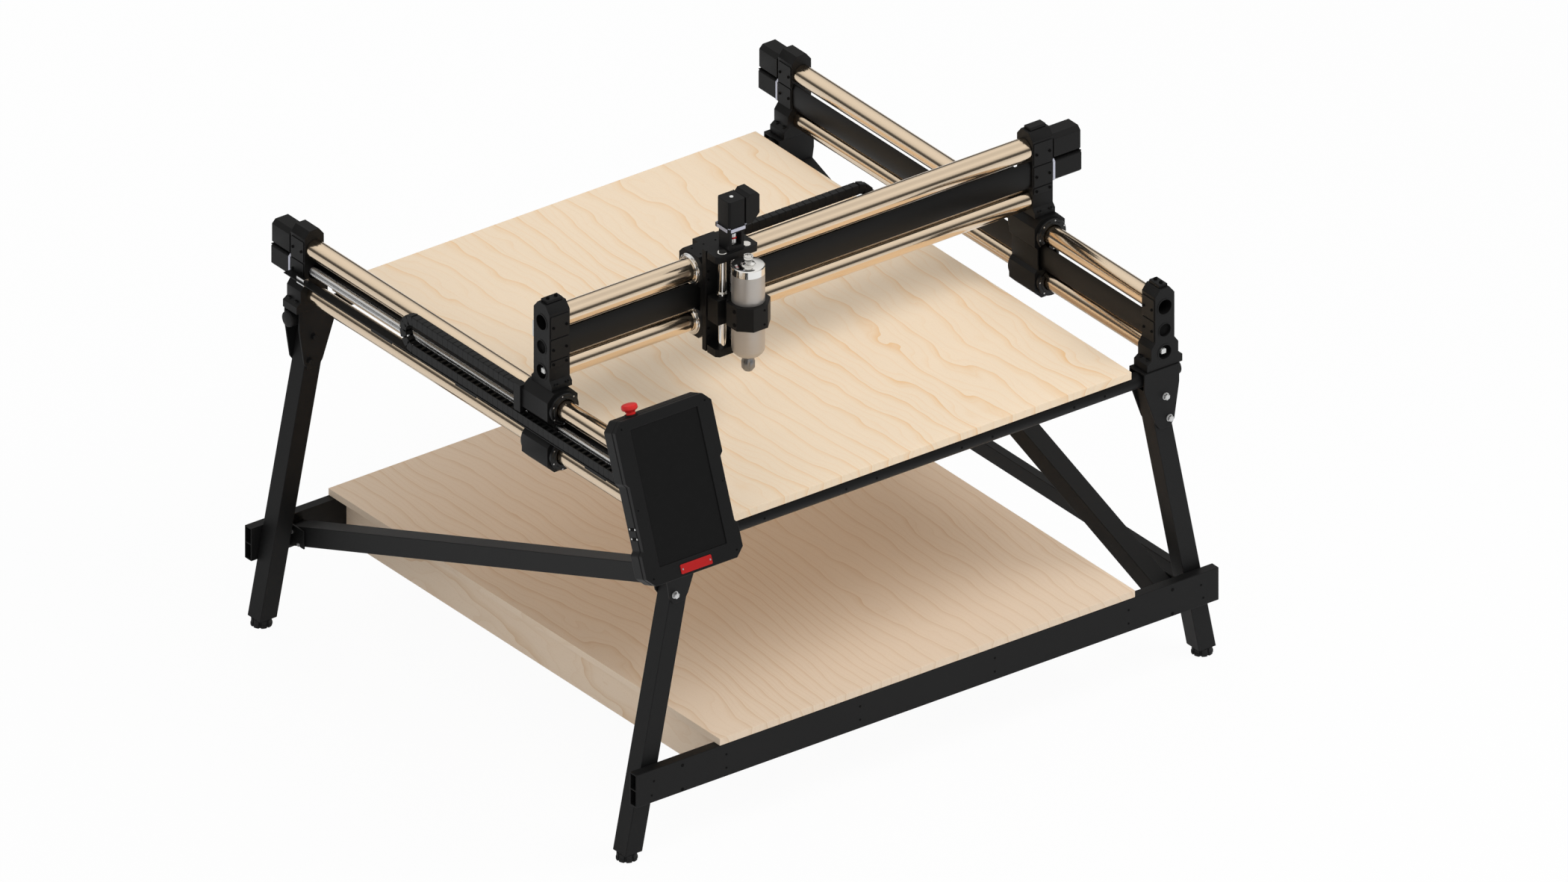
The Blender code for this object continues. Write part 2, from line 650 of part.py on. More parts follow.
def vertical_slide(parent):
    """The block on the rods, and the eight-sided clamp round the spindle."""
    x0, x1 = CROSS_X - CROSS_HALF, CROSS_X + CROSS_HALF
    shape = block((x0, -0.349, 1.088), (x1, -0.309, 1.153))
    clamp = prism(chamfered((SPINDLE_X - 0.050, SPINDLE_Y - 0.050), (SPINDLE_X + 0.050, SPINDLE_Y + 0.050),
                            0.029), "Z", 1.098, 1.160)
    node("z_block", shape, "anodised_black", parent, joins=[clamp])
    cuts = [rod("Z", (SPINDLE_X, SPINDLE_Y), SPINDLE_RADIUS + GAP, 1.06, 1.17, 36)]
    cuts += [rod("Z", (CROSS_X + s * ROD_SPREAD, ROD_Y), ROD_RADIUS + 0.0008, 1.06, 1.17, 20) for s in (-1, 1)]
    cuts.append(rod("Z", (CROSS_X, LIFT_SCREW_Y), LIFT_SCREW_RADIUS + 0.0020, 1.06, 1.17, 16))
    cut_node("z_block", cuts, parent)
    profile = [
        (1.0080, 0.0150), (1.0120, 0.0235), (1.0200, 0.0340), (1.0310, SPINDLE_RADIUS),
        (1.2500, SPINDLE_RADIUS), (1.2545, 0.0385), (1.2545, 0.0150), (1.2560, 0.0100),
        (1.2640, 0.0100), (1.2680, 0.0125), (1.2765, 0.0125),
    ]
    body = turned("Z", (SPINDLE_X, SPINDLE_Y), profile, 36)
    node("spindle_body", body, "satin_silver", parent)


def collet(parent):
    profile = [(0.9710, 0.0105), (0.9780, 0.0165), (0.9960, 0.0165), (1.0077, 0.0120)]
    shape = turned("Z", (SPINDLE_X, SPINDLE_Y), profile, 12)
    node("collet_nut", shape, "steel", parent)


def screws(root, gantry_anchor, cross_anchor):
    """Each screw turns about its own anchor."""
    for name, side in SIDES:
        x = side * RAIL_X
        hub = anchor(f"y_screw_{name}_axis", (x, 0, RAIL_SCREW), root)
        shape = rod("Y", (x, RAIL_SCREW), SCREW_RADIUS, FOOT_FRONT[0] + 0.010, FOOT_REAR[1] - 0.002, 16)
        node(f"y_screw_{name}", shape, "steel", hub)
    hub = anchor("x_screw_axis", (0, GANTRY_Y, GANTRY_SCREW), gantry_anchor)
    shape = rod("X", (GANTRY_Y, GANTRY_SCREW), SCREW_RADIUS, -SIDE_OUTER + 0.010, SIDE_OUTER - 0.002, 16)
    node("x_screw", shape, "steel", hub)
    hub = anchor("z_screw_axis", (CROSS_X, LIFT_SCREW_Y, 1.1), cross_anchor)
    shape = rod("Z", (CROSS_X, LIFT_SCREW_Y), LIFT_SCREW_RADIUS, 1.022, 1.312, 16)
    node("z_screw", shape, "steel", hub)


# Controller.


def back_of_case(height):
    """Y of the case's sloping back at a height."""
    up = math.cos(CASE_TILT)
    back = -math.sin(CASE_TILT)
    y = CASE_CENTRE[1] + CASE_DEPTH * up
    z = CASE_CENTRE[2] - CASE_DEPTH * back
    return y + (height - z) * back / up


def controller(root):
    """The case leans with its own anchor, whose X, Y and Z are the case's width, depth and height."""
    mount = prism(
        [(-0.7453, 0.985), (-0.7453, 0.900), (back_of_case(0.930) + 0.0006, 0.930),
         (back_of_case(1.030) + 0.0006, 1.030)], "X", -0.7545, -0.6995)
    node("controller_arm", mount, "powder_black", root)
    hub = anchor("controller_tilt", CASE_CENTRE, root)
    hub.rotation_euler.x = CASE_TILT
    hub["place"] = (0, 0, 0)
    half, tall = CASE_WIDTH / 2, CASE_HEIGHT / 2
    shape = prism(chamfered((-half, -tall), (half, tall), 0.018), "Y", 0.0, CASE_DEPTH)
    well = rod("Z", (BUTTON_X, CASE_DEPTH / 2), 0.0125, tall - 0.016, tall + 0.01, 16)
    node("controller_case", shape, "moulded_black", hub, cuts=[well])
    hub = anchor("estop_axis", (BUTTON_X, CASE_DEPTH / 2, tall), hub)
    profile = [(-0.008, 0.0110), (0.012, 0.0110), (0.014, 0.0200), (0.022, 0.0200), (0.027, 0.0150)]
    button = turned("Z", (BUTTON_X, CASE_DEPTH / 2), [(tall + d, r) for d, r in profile], 20)
    node("estop_button", button, "red_plastic", hub)


def centre_on_origin(root):
    """Moves the machine so that its box stands centred on the origin."""
    bpy.context.view_layer.update()
    points = [
        obj.matrix_world @ Vector(corner)
        for obj in bpy.data.objects
        if obj.type == "MESH"
        for corner in obj.bound_box
    ]
    low = [min(point[i] for point in points) for i in range(3)]
    high = [max(point[i] for point in points) for i in range(3)]
    root.location = (-(low[0] + high[0]) / 2, -(low[1] + high[1]) / 2, -low[2])


def main():
    for obj in list(bpy.data.objects):
        bpy.data.objects.remove(obj)
    root = anchor("machine", (0, 0, 0), None)
    for corner in CORNERS:
        leg(*corner, root)
        levelling_foot(*corner, root)
        leg_bracket(*corner, root)
    lower_beams(root)
    shelf(root)
    braces(root)
    bed(root)
    rail_feet(root)
    rails(root)
    side_motors(root)
    side_chain(root)
    controller(root)
    gantry_anchor = anchor("gantry_slide", (0, GANTRY_Y, RAIL_SCREW), root)
    cross_anchor = anchor("cross_slide", (CROSS_X, GANTRY_Y, GANTRY_SCREW), gantry_anchor)
    lift_anchor = anchor("lift_slide", (CROSS_X, ROD_Y, 1.1175), cross_anchor)
    spin_anchor = anchor("spindle_axis", (SPINDLE_X, SPINDLE_Y, 1.0), lift_anchor)
    gantry(gantry_anchor)
    cross_carriage(cross_anchor)
    vertical_slide(lift_anchor)
    collet(spin_anchor)
    screws(root, gantry_anchor, cross_anchor)
    centre_on_origin(root)


main()
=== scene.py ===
"""Finishes the gantry router: coated stand, wooden boards, polished rails, chains, spindle and controller."""

import json
import math

import bmesh
import bpy
import numpy as np
from bpy.props import FloatProperty, FloatVectorProperty, IntProperty
from mathutils import Matrix, Vector


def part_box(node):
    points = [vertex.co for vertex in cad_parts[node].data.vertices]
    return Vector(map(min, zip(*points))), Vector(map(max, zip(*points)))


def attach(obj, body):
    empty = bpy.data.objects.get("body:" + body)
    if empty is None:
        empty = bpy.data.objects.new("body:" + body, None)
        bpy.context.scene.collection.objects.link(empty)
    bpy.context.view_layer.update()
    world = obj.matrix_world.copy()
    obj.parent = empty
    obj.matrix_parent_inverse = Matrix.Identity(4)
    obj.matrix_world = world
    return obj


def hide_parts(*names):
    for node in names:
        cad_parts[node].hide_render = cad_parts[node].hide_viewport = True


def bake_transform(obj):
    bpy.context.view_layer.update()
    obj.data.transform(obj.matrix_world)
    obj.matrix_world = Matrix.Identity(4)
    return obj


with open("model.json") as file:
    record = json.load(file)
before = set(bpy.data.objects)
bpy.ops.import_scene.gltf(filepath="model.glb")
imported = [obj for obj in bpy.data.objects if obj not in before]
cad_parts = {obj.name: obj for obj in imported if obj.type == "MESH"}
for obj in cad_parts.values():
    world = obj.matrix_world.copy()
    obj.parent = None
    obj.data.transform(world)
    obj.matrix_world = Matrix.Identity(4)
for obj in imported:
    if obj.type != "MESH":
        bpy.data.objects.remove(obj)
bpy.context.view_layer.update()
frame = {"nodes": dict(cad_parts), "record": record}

bl_info = {
    "name": "Gantry router finish",
    "version": (1, 0, 0),
    "blender": (4, 5, 0),
    "location": "View3D > Sidebar > Router",
    "description": "Builds the finished pieces of a gantry router on its stand",
    "category": "Object",
}

NODES = frame["nodes"]
BODY_OF = {
    node: body for body, nodes in frame["record"]["behaviour"]["bodies"].items() for node in nodes
}
SLOT_OF = {entry["node"]: entry["material_slot"] for entry in frame["record"]["subparts"]}


def middle_of(node):
    low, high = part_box(node)
    return (low + high) / 2


def span(node, index):
    low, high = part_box(node)
    return low[index], high[index]


BED = middle_of("spoilboard")
ENDS = (("front", -1), ("rear", 1))
SIDES = (("left", -1), ("right", 1))
CORNERS = [(f"{row}_{hand}", end, side) for row, end in ENDS for hand, side in SIDES]


# Sizes and colours.


def length(name, text, default):
    return FloatProperty(name=name, description=text, default=default, subtype="DISTANCE", unit="LENGTH")


def tint(name, text, default):
    return FloatVectorProperty(name=name, description=text, default=default, size=3, subtype="COLOR",
                               min=0.0, max=1.0)


class StageSettings(bpy.types.PropertyGroup):
    view_width: length("View width", "Width of the camera's parallel view", 3.6907)
    azimuth: FloatProperty(name="Azimuth", description="Camera's turn from straight ahead, to the left",
                           default=math.radians(36.785), subtype="ANGLE")
    elevation: FloatProperty(name="Elevation", description="Camera's height above the horizon",
                             default=math.radians(28.64), subtype="ANGLE")
    backdrop: tint("Backdrop", "Colour of the floor and the surroundings", (1.0, 1.0, 1.0))


class StandSettings(bpy.types.PropertyGroup):
    coating: tint("Coating", "Powder coat on the steel", (0.0062, 0.0062, 0.0063))
    edge: length("Edge radius", "Rounding of the steel's edges", 0.0015)
    bolt_across: length("Bolt head", "Size across the flats of the leg bolts", 0.0138)


class BoardSettings(bpy.types.PropertyGroup):
    board: tint("Board", "Ground colour of the bed board", (0.91, 0.74, 0.55))
    board_grain: tint("Board grain", "Colour of the bed board's grain", (0.84, 0.56, 0.31))
    shelf: tint("Shelf", "Ground colour of the shelf", (0.84, 0.68, 0.52))
    shelf_grain: tint("Shelf grain", "Colour of the shelf's grain", (0.70, 0.495, 0.315))


class RailSettings(bpy.types.PropertyGroup):
    casting: tint("Castings", "Anodised finish of the machined blocks", (0.0058, 0.0057, 0.0057))
    # Polished steel tubes; their warm tint is painted reflection of the wooden boards.
    tube: tint("Tubes", "Polished tubes", (0.82, 0.665, 0.495))
    lead: length("Screw lead", "Travel of a ball screw in one turn", 0.010)
    groove: length("Screw groove", "Depth of the ball screw's groove", 0.0012)
    facets: IntProperty(name="Facets", description="Sides of a polished tube", default=72, min=24, max=160)


class ChainSettings(bpy.types.PropertyGroup):
    pitch: length("Pitch", "Distance between two links", 0.0197)
    colour: tint("Colour", "Moulded chain", (0.0088, 0.0088, 0.0088))


class SpindleSettings(bpy.types.PropertyGroup):
    sleeve: tint("Sleeve", "Satin body of the spindle", (0.51, 0.475, 0.44))
    cap: tint("Cap", "Polished cap of the spindle", (0.88, 0.87, 0.85))


class ControllerSettings(bpy.types.PropertyGroup):
    case: tint("Case", "Moulded case", (0.0068, 0.0068, 0.0069))
    plate: tint("Plate", "Red plate and stop button", (0.42, 0.012, 0.012))
    screen_width: length("Screen width", "Width of the glass", 0.197)
    screen_height: length("Screen height", "Height of the glass", 0.338)
    tilt: FloatProperty(name="Tilt", description="How far the case leans back",
                        default=math.radians(20.2), subtype="ANGLE")


# Shader maths.


class Signal:
    """A node's output that takes part in plain arithmetic. Each operator adds one Math node."""

    def __init__(self, tree, socket):
        self.tree = tree
        self.socket = socket

    def _maths(self, operation, first, second=None, clamp=False):
        node = self.tree.nodes.new("ShaderNodeMath")
        node.operation = operation
        node.use_clamp = clamp
        for socket, value in zip(node.inputs, (first, second)):
            join(self.tree, socket, value)
        return Signal(self.tree, node.outputs[0])

    def __add__(self, other):
        return self._maths("ADD", self, other)

    __radd__ = __add__

    def __sub__(self, other):
        return self._maths("SUBTRACT", self, other)

    def __rsub__(self, other):
        return self._maths("SUBTRACT", other, self)

    def __mul__(self, other):
        return self._maths("MULTIPLY", self, other)

    __rmul__ = __mul__

    def __pow__(self, other):
        return self._maths("POWER", self, other)

    def fraction(self):
        return self._maths("FRACT", self)

    def kept(self):
        return self._maths("ADD", self, 0.0, clamp=True)


def join(tree, socket, value):
    """Links a signal to a socket, or sets the socket's own value."""
    if value is None:
        return
    if isinstance(value, Signal):
        tree.links.new(value.socket, socket)
    elif hasattr(socket.default_value, "__len__") and len(socket.default_value) == 4 and len(value) == 3:
        socket.default_value = (*value, 1.0)
    else:
        socket.default_value = value


class Nodes:
    """A node tree under construction."""

    def __init__(self, tree):
        self.tree = tree

    def make(self, kind, settings=None, inputs=None, output=0):
        """Any node: its settings first, then the values or links of its sockets."""
        node = self.tree.nodes.new(kind)
        for key, value in (settings or {}).items():
            setattr(node, key, value)
        for key, value in (inputs or {}).items():
            join(self.tree, node.inputs[key], value)
        return Signal(self.tree, node.outputs[output])

    def parts(self, where):
        node = self.tree.nodes.new("ShaderNodeSeparateXYZ")
        join(self.tree, node.inputs[0], where)
        return [Signal(self.tree, output) for output in node.outputs]

    def rays(self, kind):
        """1 for rays of that kind and 0 for the rest."""
        return self.make("ShaderNodeLightPath", output=f"Is {kind} Ray")

    def mixed(self, factor, first, second):
        return self.make("ShaderNodeMixShader", inputs={0: factor, 1: first, 2: second})


class Recipe(Nodes):
    """A material under construction."""

    def __init__(self, name, specular=None):
        self.material = bpy.data.materials.new(name)
        self.material.use_nodes = True
        super().__init__(self.material.node_tree)
        self.shader = self.tree.nodes["Principled BSDF"]
        if specular is not None:
            self.shader.inputs["Specular IOR Level"].default_value = specular

    def place(self, scale=(1.0, 1.0, 1.0)):
        where = self.make("ShaderNodeTexCoord", output="Object")
        return self.make("ShaderNodeMapping", inputs={"Vector": where, "Scale": scale})

    def noise(self, where, scale, detail=3.0, roughness=0.5):
        return self.make("ShaderNodeTexNoise", inputs={
            "Vector": where, "Scale": scale, "Detail": detail, "Roughness": roughness})

    def between(self, factor, first, second):
        """A mix of two colours."""
        return self.make("ShaderNodeMix", {"data_type": "RGBA"}, {0: factor, 6: first, 7: second}, 2)

    def bump(self, height, distance, strength=1.0):
        return self.make("ShaderNodeBump", inputs={
            "Height": height, "Distance": distance, "Strength": strength})

    def done(self, **sockets):
        for name, value in sockets.items():
            join(self.tree, self.shader.inputs[name.replace("_", " ")], value)
        return self.material


# Materials.


def shade(colour, by):
    return tuple(channel * by for channel in colour)


def powder_coat(name, colour, roughness, grain=700.0, depth=0.00025):
    """Fine orange-peel grain with slow changes of tone and gloss."""
    recipe = Recipe(name, 0.19)
    where = recipe.place()
    fine = recipe.noise(where, grain, 2.0)
    slow = recipe.noise(where, 5.0, 4.0)
    base = recipe.between(slow, shade(colour, 0.82), shade(colour, 1.22))
    gloss = roughness - 0.05 + fine * 0.06 + slow * 0.05
    return recipe.done(Base_Color=base, Roughness=gloss, Normal=recipe.bump(fine, depth, 0.35))


def polished(name, colour, roughness, stretch):
    """Bright metal with faint draw marks along its length."""
    recipe = Recipe(name)
    marks = recipe.noise(recipe.place(stretch), 1.0, 3.0)
    slow = recipe.noise(recipe.place(), 9.0, 2.0)
    base = recipe.between(slow, shade(colour, 0.94), colour)
    recipe.shader.inputs["Metallic"].default_value = 1.0
    return recipe.done(Base_Color=base, Roughness=marks * 0.06 + (roughness - 0.03))


def satin(name, colour, roughness, stretch, metallic):
    """Metal brushed in one direction."""
    recipe = Recipe(name)
    marks = recipe.noise(recipe.place(stretch), 1.0, 4.0, 0.6)
    base = recipe.between(marks, shade(colour, 0.90), shade(colour, 1.06))
    recipe.shader.inputs["Metallic"].default_value = metallic
    return recipe.done(Base_Color=base, Roughness=marks * 0.14 + (roughness - 0.07),
                       Normal=recipe.bump(marks, 0.0001, 0.2))


def wood(name, ground, grain, count, wander, seed):
    """Thin growth lines along Y: the fraction of a height that rises with X and drifts with two slow noises,
    sharpened by a high power, over fine fibres and a faint second set of lines."""
    recipe = Recipe(name, 0.25)
    where = recipe.make("ShaderNodeMapping", inputs={
        "Vector": recipe.make("ShaderNodeTexCoord", output="Object"), "Location": (seed, seed * 0.7, 0.0)})
    across = recipe.parts(where)[0]

    def drift(scale, along, detail):
        stretched = recipe.make("ShaderNodeMapping", inputs={"Vector": where, "Scale": (1.0, along, 1.0)})
        return recipe.noise(stretched, scale, detail, 0.45)

    slow, fast = drift(2.1, 0.30, 1.0), drift(11.0, 0.42, 2.0)
    rise = across * count + slow * wander + fast * 1.35
    line = rise.fraction() ** 11.0
    second = (rise * 3.0 + fast * 0.8).fraction() ** 7.0
    fibres = recipe.noise(recipe.place((260.0, 6.0, 260.0)), 1.0, 3.0, 0.6)
    pores = recipe.noise(recipe.place((1.0, 0.35, 1.0)), 520.0, 1.0)
    patch = drift(3.2, 0.5, 2.0)
    tone = recipe.between(fibres, shade(ground, 0.95), shade(ground, 1.04))
    tone = recipe.between((patch * 0.6).kept(), tone, shade(ground, 0.93))
    tone = recipe.between((second * (patch - 0.15) * 0.75).kept(), tone, grain)
    mask = (line * (0.30 + patch * 1.2)).kept()
    base = recipe.between(mask, tone, grain)
    base = recipe.between(((pores - 0.60) * 1.6).kept(), base, shade(grain, 0.92))
    return recipe.done(Base_Color=base, Roughness=0.58 + fibres * 0.12,
                       Normal=recipe.bump(fibres * 0.5 + mask * 0.5, 0.0003, 0.25))


def moulded(name, colour, roughness):
    """Spark-eroded plastic: small pits, slightly uneven gloss."""
    recipe = Recipe(name, 0.22)
    where = recipe.place()
    pits = recipe.noise(where, 1300.0, 1.0)
    slow = recipe.noise(where, 8.0, 3.0)
    base = recipe.between(slow, shade(colour, 0.88), shade(colour, 1.14))
    return recipe.done(Base_Color=base, Roughness=roughness + slow * 0.08 - 0.04,
                       Normal=recipe.bump(pits, 0.0002, 0.25))


def glass(name, colour):
    """A dark cover glass with a trace of dust."""
    recipe = Recipe(name, 0.20)
    dust = recipe.noise(recipe.place(), 60.0, 4.0, 0.7)
    base = recipe.between(dust, colour, shade(colour, 1.25))
    return recipe.done(Base_Color=base, Roughness=dust * 0.08 + 0.30)


def finishes():
    """Each finish: its slot in the record, the function that makes it, and that function's values."""
    scene = bpy.context.scene
    stand, rail, boards = scene.router_stand, scene.router_rail, scene.router_board
    spindle, case, chain = scene.router_spindle, scene.router_controller, scene.router_chain
    aluminium, plastic, tube, bright = "black_aluminium", "black_plastic", "polished_tube", "bright_steel"
    return {
        "coated_steel": ("black_steel", powder_coat, stand.coating, 0.50),
        "anodised": (aluminium, powder_coat, rail.casting, 0.46, 1100.0, 0.00015),
        "panel_black": (aluminium, powder_coat, shade(rail.casting, 0.85), 0.38, 1500.0, 0.0001),
        "motor_black": (aluminium, powder_coat, shade(rail.casting, 1.1), 0.52, 900.0, 0.0003),
        "rubber": (plastic, moulded, (0.012, 0.012, 0.012), 0.62),
        "seal_gloss": (plastic, moulded, (0.008, 0.008, 0.008), 0.22),
        "chain_black": (plastic, moulded, chain.colour, 0.50),
        "case_black": (plastic, moulded, case.case, 0.48),
        "screen_glass": (plastic, glass, (0.0055, 0.0055, 0.0055)),
        # Nearly black: the own colour of the black screw heads, and painted shade in holes, bores, slots,
        # seams and ports, drawn as dark discs, blocks and strips.
        "dark_hole": (plastic, moulded, (0.0010, 0.0010, 0.0010), 0.9),
        "label_white": (plastic, moulded, (0.72, 0.72, 0.70), 0.5),
        "red_plate": ("red_plastic", moulded, case.plate, 0.38),
        "red_button": ("red_plastic", moulded, (0.60, 0.022, 0.020), 0.33),
        # Polished steel; the warm tint of rail.tube is painted reflection of the boards.
        "tube_along_x": (tube, polished, rail.tube, 0.15, (2.0, 260.0, 260.0)),
        "tube_along_y": (tube, polished, rail.tube, 0.15, (260.0, 2.0, 260.0)),
        "rod_chrome": (tube, polished, (0.84, 0.82, 0.79), 0.09, (300.0, 300.0, 4.0)),
        "cap_chrome": (tube, polished, spindle.cap, 0.10, (120.0, 120.0, 900.0)),
        "screw_steel": (bright, satin, (0.74, 0.74, 0.74), 0.28, (40.0, 40.0, 40.0), 1.0),
        "bolt_zinc": (bright, satin, (0.66, 0.66, 0.66), 0.36, (500.0, 500.0, 500.0), 0.9),
        "flange_silver": (bright, satin, (0.56, 0.57, 0.66), 0.34, (60.0, 60.0, 700.0), 0.8),
        "collet_dark": (bright, satin, (0.27, 0.27, 0.27), 0.34, (300.0, 300.0, 80.0), 0.9),
        "spindle_satin": ("satin_silver", satin, spindle.sleeve, 0.40, (60.0, 60.0, 1200.0), 0.75),
        "bed_board": ("board", wood, boards.board, boards.board_grain, 15.0, 5.5, 3.1),
        "shelf_board": ("plywood", wood, boards.shelf, boards.shelf_grain, 24.0, 9.0, 8.4),
    }


def finish(key):
    """A finish's material, made the first time that it is asked for, and its slot."""
    slot, maker, *values = finishes()[key]
    return bpy.data.materials.get(key) or maker(key, *values), slot


# Surfaces. Each returns (points, faces), with points as one array.


def grid(points, around=False, along=False, ends=False):
    """Quads between neighbours of a grid of points, closed round its second way, its first, or capped."""
    rows, columns = points.shape[:2]
    i, j = np.meshgrid(np.arange(rows if along else rows - 1),
                       np.arange(columns if around else columns - 1), indexing="ij")
    k, m = (i + 1) % rows, (j + 1) % columns
    quads = np.stack([i * columns + j, i * columns + m, k * columns + m, k * columns + j], axis=-1)
    faces = quads.reshape(-1, 4).tolist()
    if ends:
        faces.append(list(range(columns)))
        faces.append(list(range((rows - 1) * columns, rows * columns)))
    return points.reshape(-1, 3), faces


def spread(axis, along, a, b):
    """Arrays along the axis and on the other two axes, in X, Y, Z order, as points."""
    order = {"X": (along, a, b), "Y": (a, along, b), "Z": (a, b, along)}[axis]
    return np.stack(np.broadcast_arrays(*order), axis=-1).astype(float)


def full_turn(count):
    """Even angles round a circle, without its end."""
    return np.linspace(0, 2 * np.pi, count, endpoint=False)[None]


def swept(axis, centre, distance, radius, turn):
    """Points by their distance along an axis and their radius and angle about it."""
    return spread(axis, distance, centre[0] + radius * np.cos(turn), centre[1] + radius * np.sin(turn))


def capped(axis, centre, distance, radius, turn):
    """A closed solid round an axis, whose radius may change with both distance and angle."""
    return grid(swept(axis, centre, distance, radius, turn), around=True, ends=True)


def stepped(face, out, steps):
    """A profile of (rise, radius) steps that stand out from a face. out is 1 or -1."""
    return [(face + out * rise, radius) for rise, radius in steps]


def turned(axis, centre, profile, count=40, closed=False):
    """A profile of (distance, radius) turned about an axis through centre."""
    distance, radius = np.array(profile, float).T[:, :, None]
    return grid(swept(axis, centre, distance, radius, full_turn(count)), around=True, along=closed,
                ends=not closed)


def disc(axis, centre, start, end, radius, count=36):
    """A plain round bar from start to end."""
    return turned(axis, centre, [(start, radius), (end, radius)], count)


def slab(axis, outline, start, end):
    """An outline carried straight from start to end."""
    a, b = np.array(outline, float).T
    return grid(spread(axis, np.array([[start], [end]], float), a[None], b[None]), around=True, ends=True)


def block(corner, opposite):
    """A box by any two opposite corners."""
    x0, y0, z0 = np.minimum(corner, opposite)
    x1, y1, z1 = np.maximum(corner, opposite)
    return slab("Z", [(x0, y0), (x1, y0), (x1, y1), (x0, y1)], z0, z1)


def ring(axis, centre, outer, inner, start, end, count=40):
    """A tube wall: a rectangle between two radii, turned about an axis."""
    profile = [(start, outer), (end, outer), (end, inner), (start, inner)]
    return turned(axis, centre, profile, count, closed=True)


def arc(axis, centre, profile, start, sweep, count=64):
    """A closed profile of (distance, radius) carried round part of a circle, with both its ends capped."""
    distance, radius = np.array(profile, float).T[:, None, :]
    turn = math.radians(start) + np.linspace(0, math.radians(sweep), count)[:, None]
    return capped(axis, centre, distance, radius, turn)


def polygon(centre, across, sides, turn=0.0):
    """A regular outline by its size across the flats."""
    angle = np.arange(sides) * 2 * np.pi / sides + turn
    radius = across / 2 / math.cos(math.pi / sides)
    return np.stack([centre[0] + radius * np.cos(angle), centre[1] + radius * np.sin(angle)], -1)


def cut_corners(low, high, cut):
    """A rectangle's outline with its four corners cut off at the same length."""
    (x0, y0), (x1, y1) = low, high
    return [(x0 + cut, y0), (x1 - cut, y0), (x1, y0 + cut), (x1, y1 - cut),
            (x1 - cut, y1), (x0 + cut, y1), (x0, y1 - cut), (x0, y0 + cut)]


def ball_screw(axis, centre, radius, lead, groove, start, end, count=18):
    """A round rod whose radius dips along a helix, once for each lead."""
    distance = np.linspace(start, end, int((end - start) / lead * 8))[:, None]
    turn = full_turn(count)
    phase = distance / lead * 2 * np.pi - turn
    dip = np.clip(np.cos(phase) * 1.6 - 0.2, 0, 1)
    return capped(axis, centre, distance, radius - groove * dip, turn)


def socket_screw(axis, spot, radius, out):
    """A round cap with a sunk socket. out is the signed height of the cap."""
    lead, centre = taken(axis, spot)
    cap = ((0.0, 1.0), (0.85, 1.0), (1.0, 0.86), (1.0, 0.5), (0.45, 0.46))
    return turned(axis, centre, stepped(lead, out, [(rise, radius * share) for rise, share in cap]), 14)


def screws_at(spots, axis, radius, out):
    return [socket_screw(axis, spot, radius, out) for spot in spots]


def hex_bolt(axis, spot, across, out):
    """A hexagon head on a thin washer."""
    lead, centre = taken(axis, spot)
    washer = disc(axis, centre, lead, lead + out * 0.18, across * 0.66, 28)
    head = slab(axis, polygon(centre, across, 6, 0.4), lead + out * 0.18, lead + out * 0.85)
    crown = turned(axis, centre, [(lead + out * 0.85, across * 0.48), (lead + out, across * 0.40)], 18)
    return [washer, head, crown]


def taken(axis, spot):
    """The coordinate along an axis, and the other two."""
    rest = list(spot)
    lead = rest.pop("XYZ".index(axis))
    return lead, tuple(rest)


def turned_by(part, matrix):
    points, faces = part
    turn = np.array(matrix)
    return points @ turn[:3, :3].T + turn[:3, 3], faces


# Objects.


def finished(name, shape, material, body, stands_for=(), bevel=0.0, segments=2, sharp=35.0):
    """Puts a shape into the scene at its place, with its faces outwards, riding on a body."""
    bmesh.ops.remove_doubles(shape, verts=shape.verts, dist=0.000005)
    bmesh.ops.recalc_face_normals(shape, faces=shape.faces)
    mesh = bpy.data.meshes.new(name)
    shape.to_mesh(mesh)
    shape.free()
    look, slot = finish(material)
    mesh.materials.append(look)
    mesh.shade_smooth()
    mesh.set_sharp_from_angle(angle=math.radians(sharp))
    obj = bpy.data.objects.new(name, mesh)
    bpy.context.scene.collection.objects.link(obj)
    if bevel:
        modifier = obj.modifiers.new("edges", "BEVEL")
        modifier.width = bevel
        modifier.segments = segments
        modifier.limit_method = "ANGLE"
        modifier.angle_limit = math.radians(sharp)
        modifier.harden_normals = True
    if body:
        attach(obj, body)
    if stands_for:
        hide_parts(*stands_for)
    return obj


def piece(name, parts, material, body, stands_for=(), **edges):
    """One object from several closed surfaces."""
    shape = bmesh.new()
    for points, faces in parts:
        mesh = bpy.data.meshes.new("part")
        mesh.from_pydata(points.tolist(), [], faces)
        shape.from_mesh(mesh)
        bpy.data.meshes.remove(mesh)
    return finished(name, shape, material, body, stands_for, **edges)


def machined(node, material, bevel=0.0012, segments=2, shorter=None):
    """The CAD piece itself with its flats made whole and its edges rounded.

    shorter is (index, limit): no point lies past limit on that axis, which leaves room for screw heads.
    """
    shape = bmesh.new()
    shape.from_mesh(NODES[node].data)
    bmesh.ops.remove_doubles(shape, verts=shape.verts, dist=0.00001)
    if shorter:
        index, limit = shorter
        for vertex in shape.verts:
            vertex.co[index] = min(vertex.co[index], limit)
    bmesh.ops.dissolve_limit(shape, angle_limit=math.radians(0.6), verts=shape.verts, edges=shape.edges)
    return finished(f"{node}_finished", shape, material, BODY_OF[node], (node,), bevel=bevel,
                    segments=segments)


# Stand.


def outer_face(node, index, out):
    return span(node, index)[out > 0]


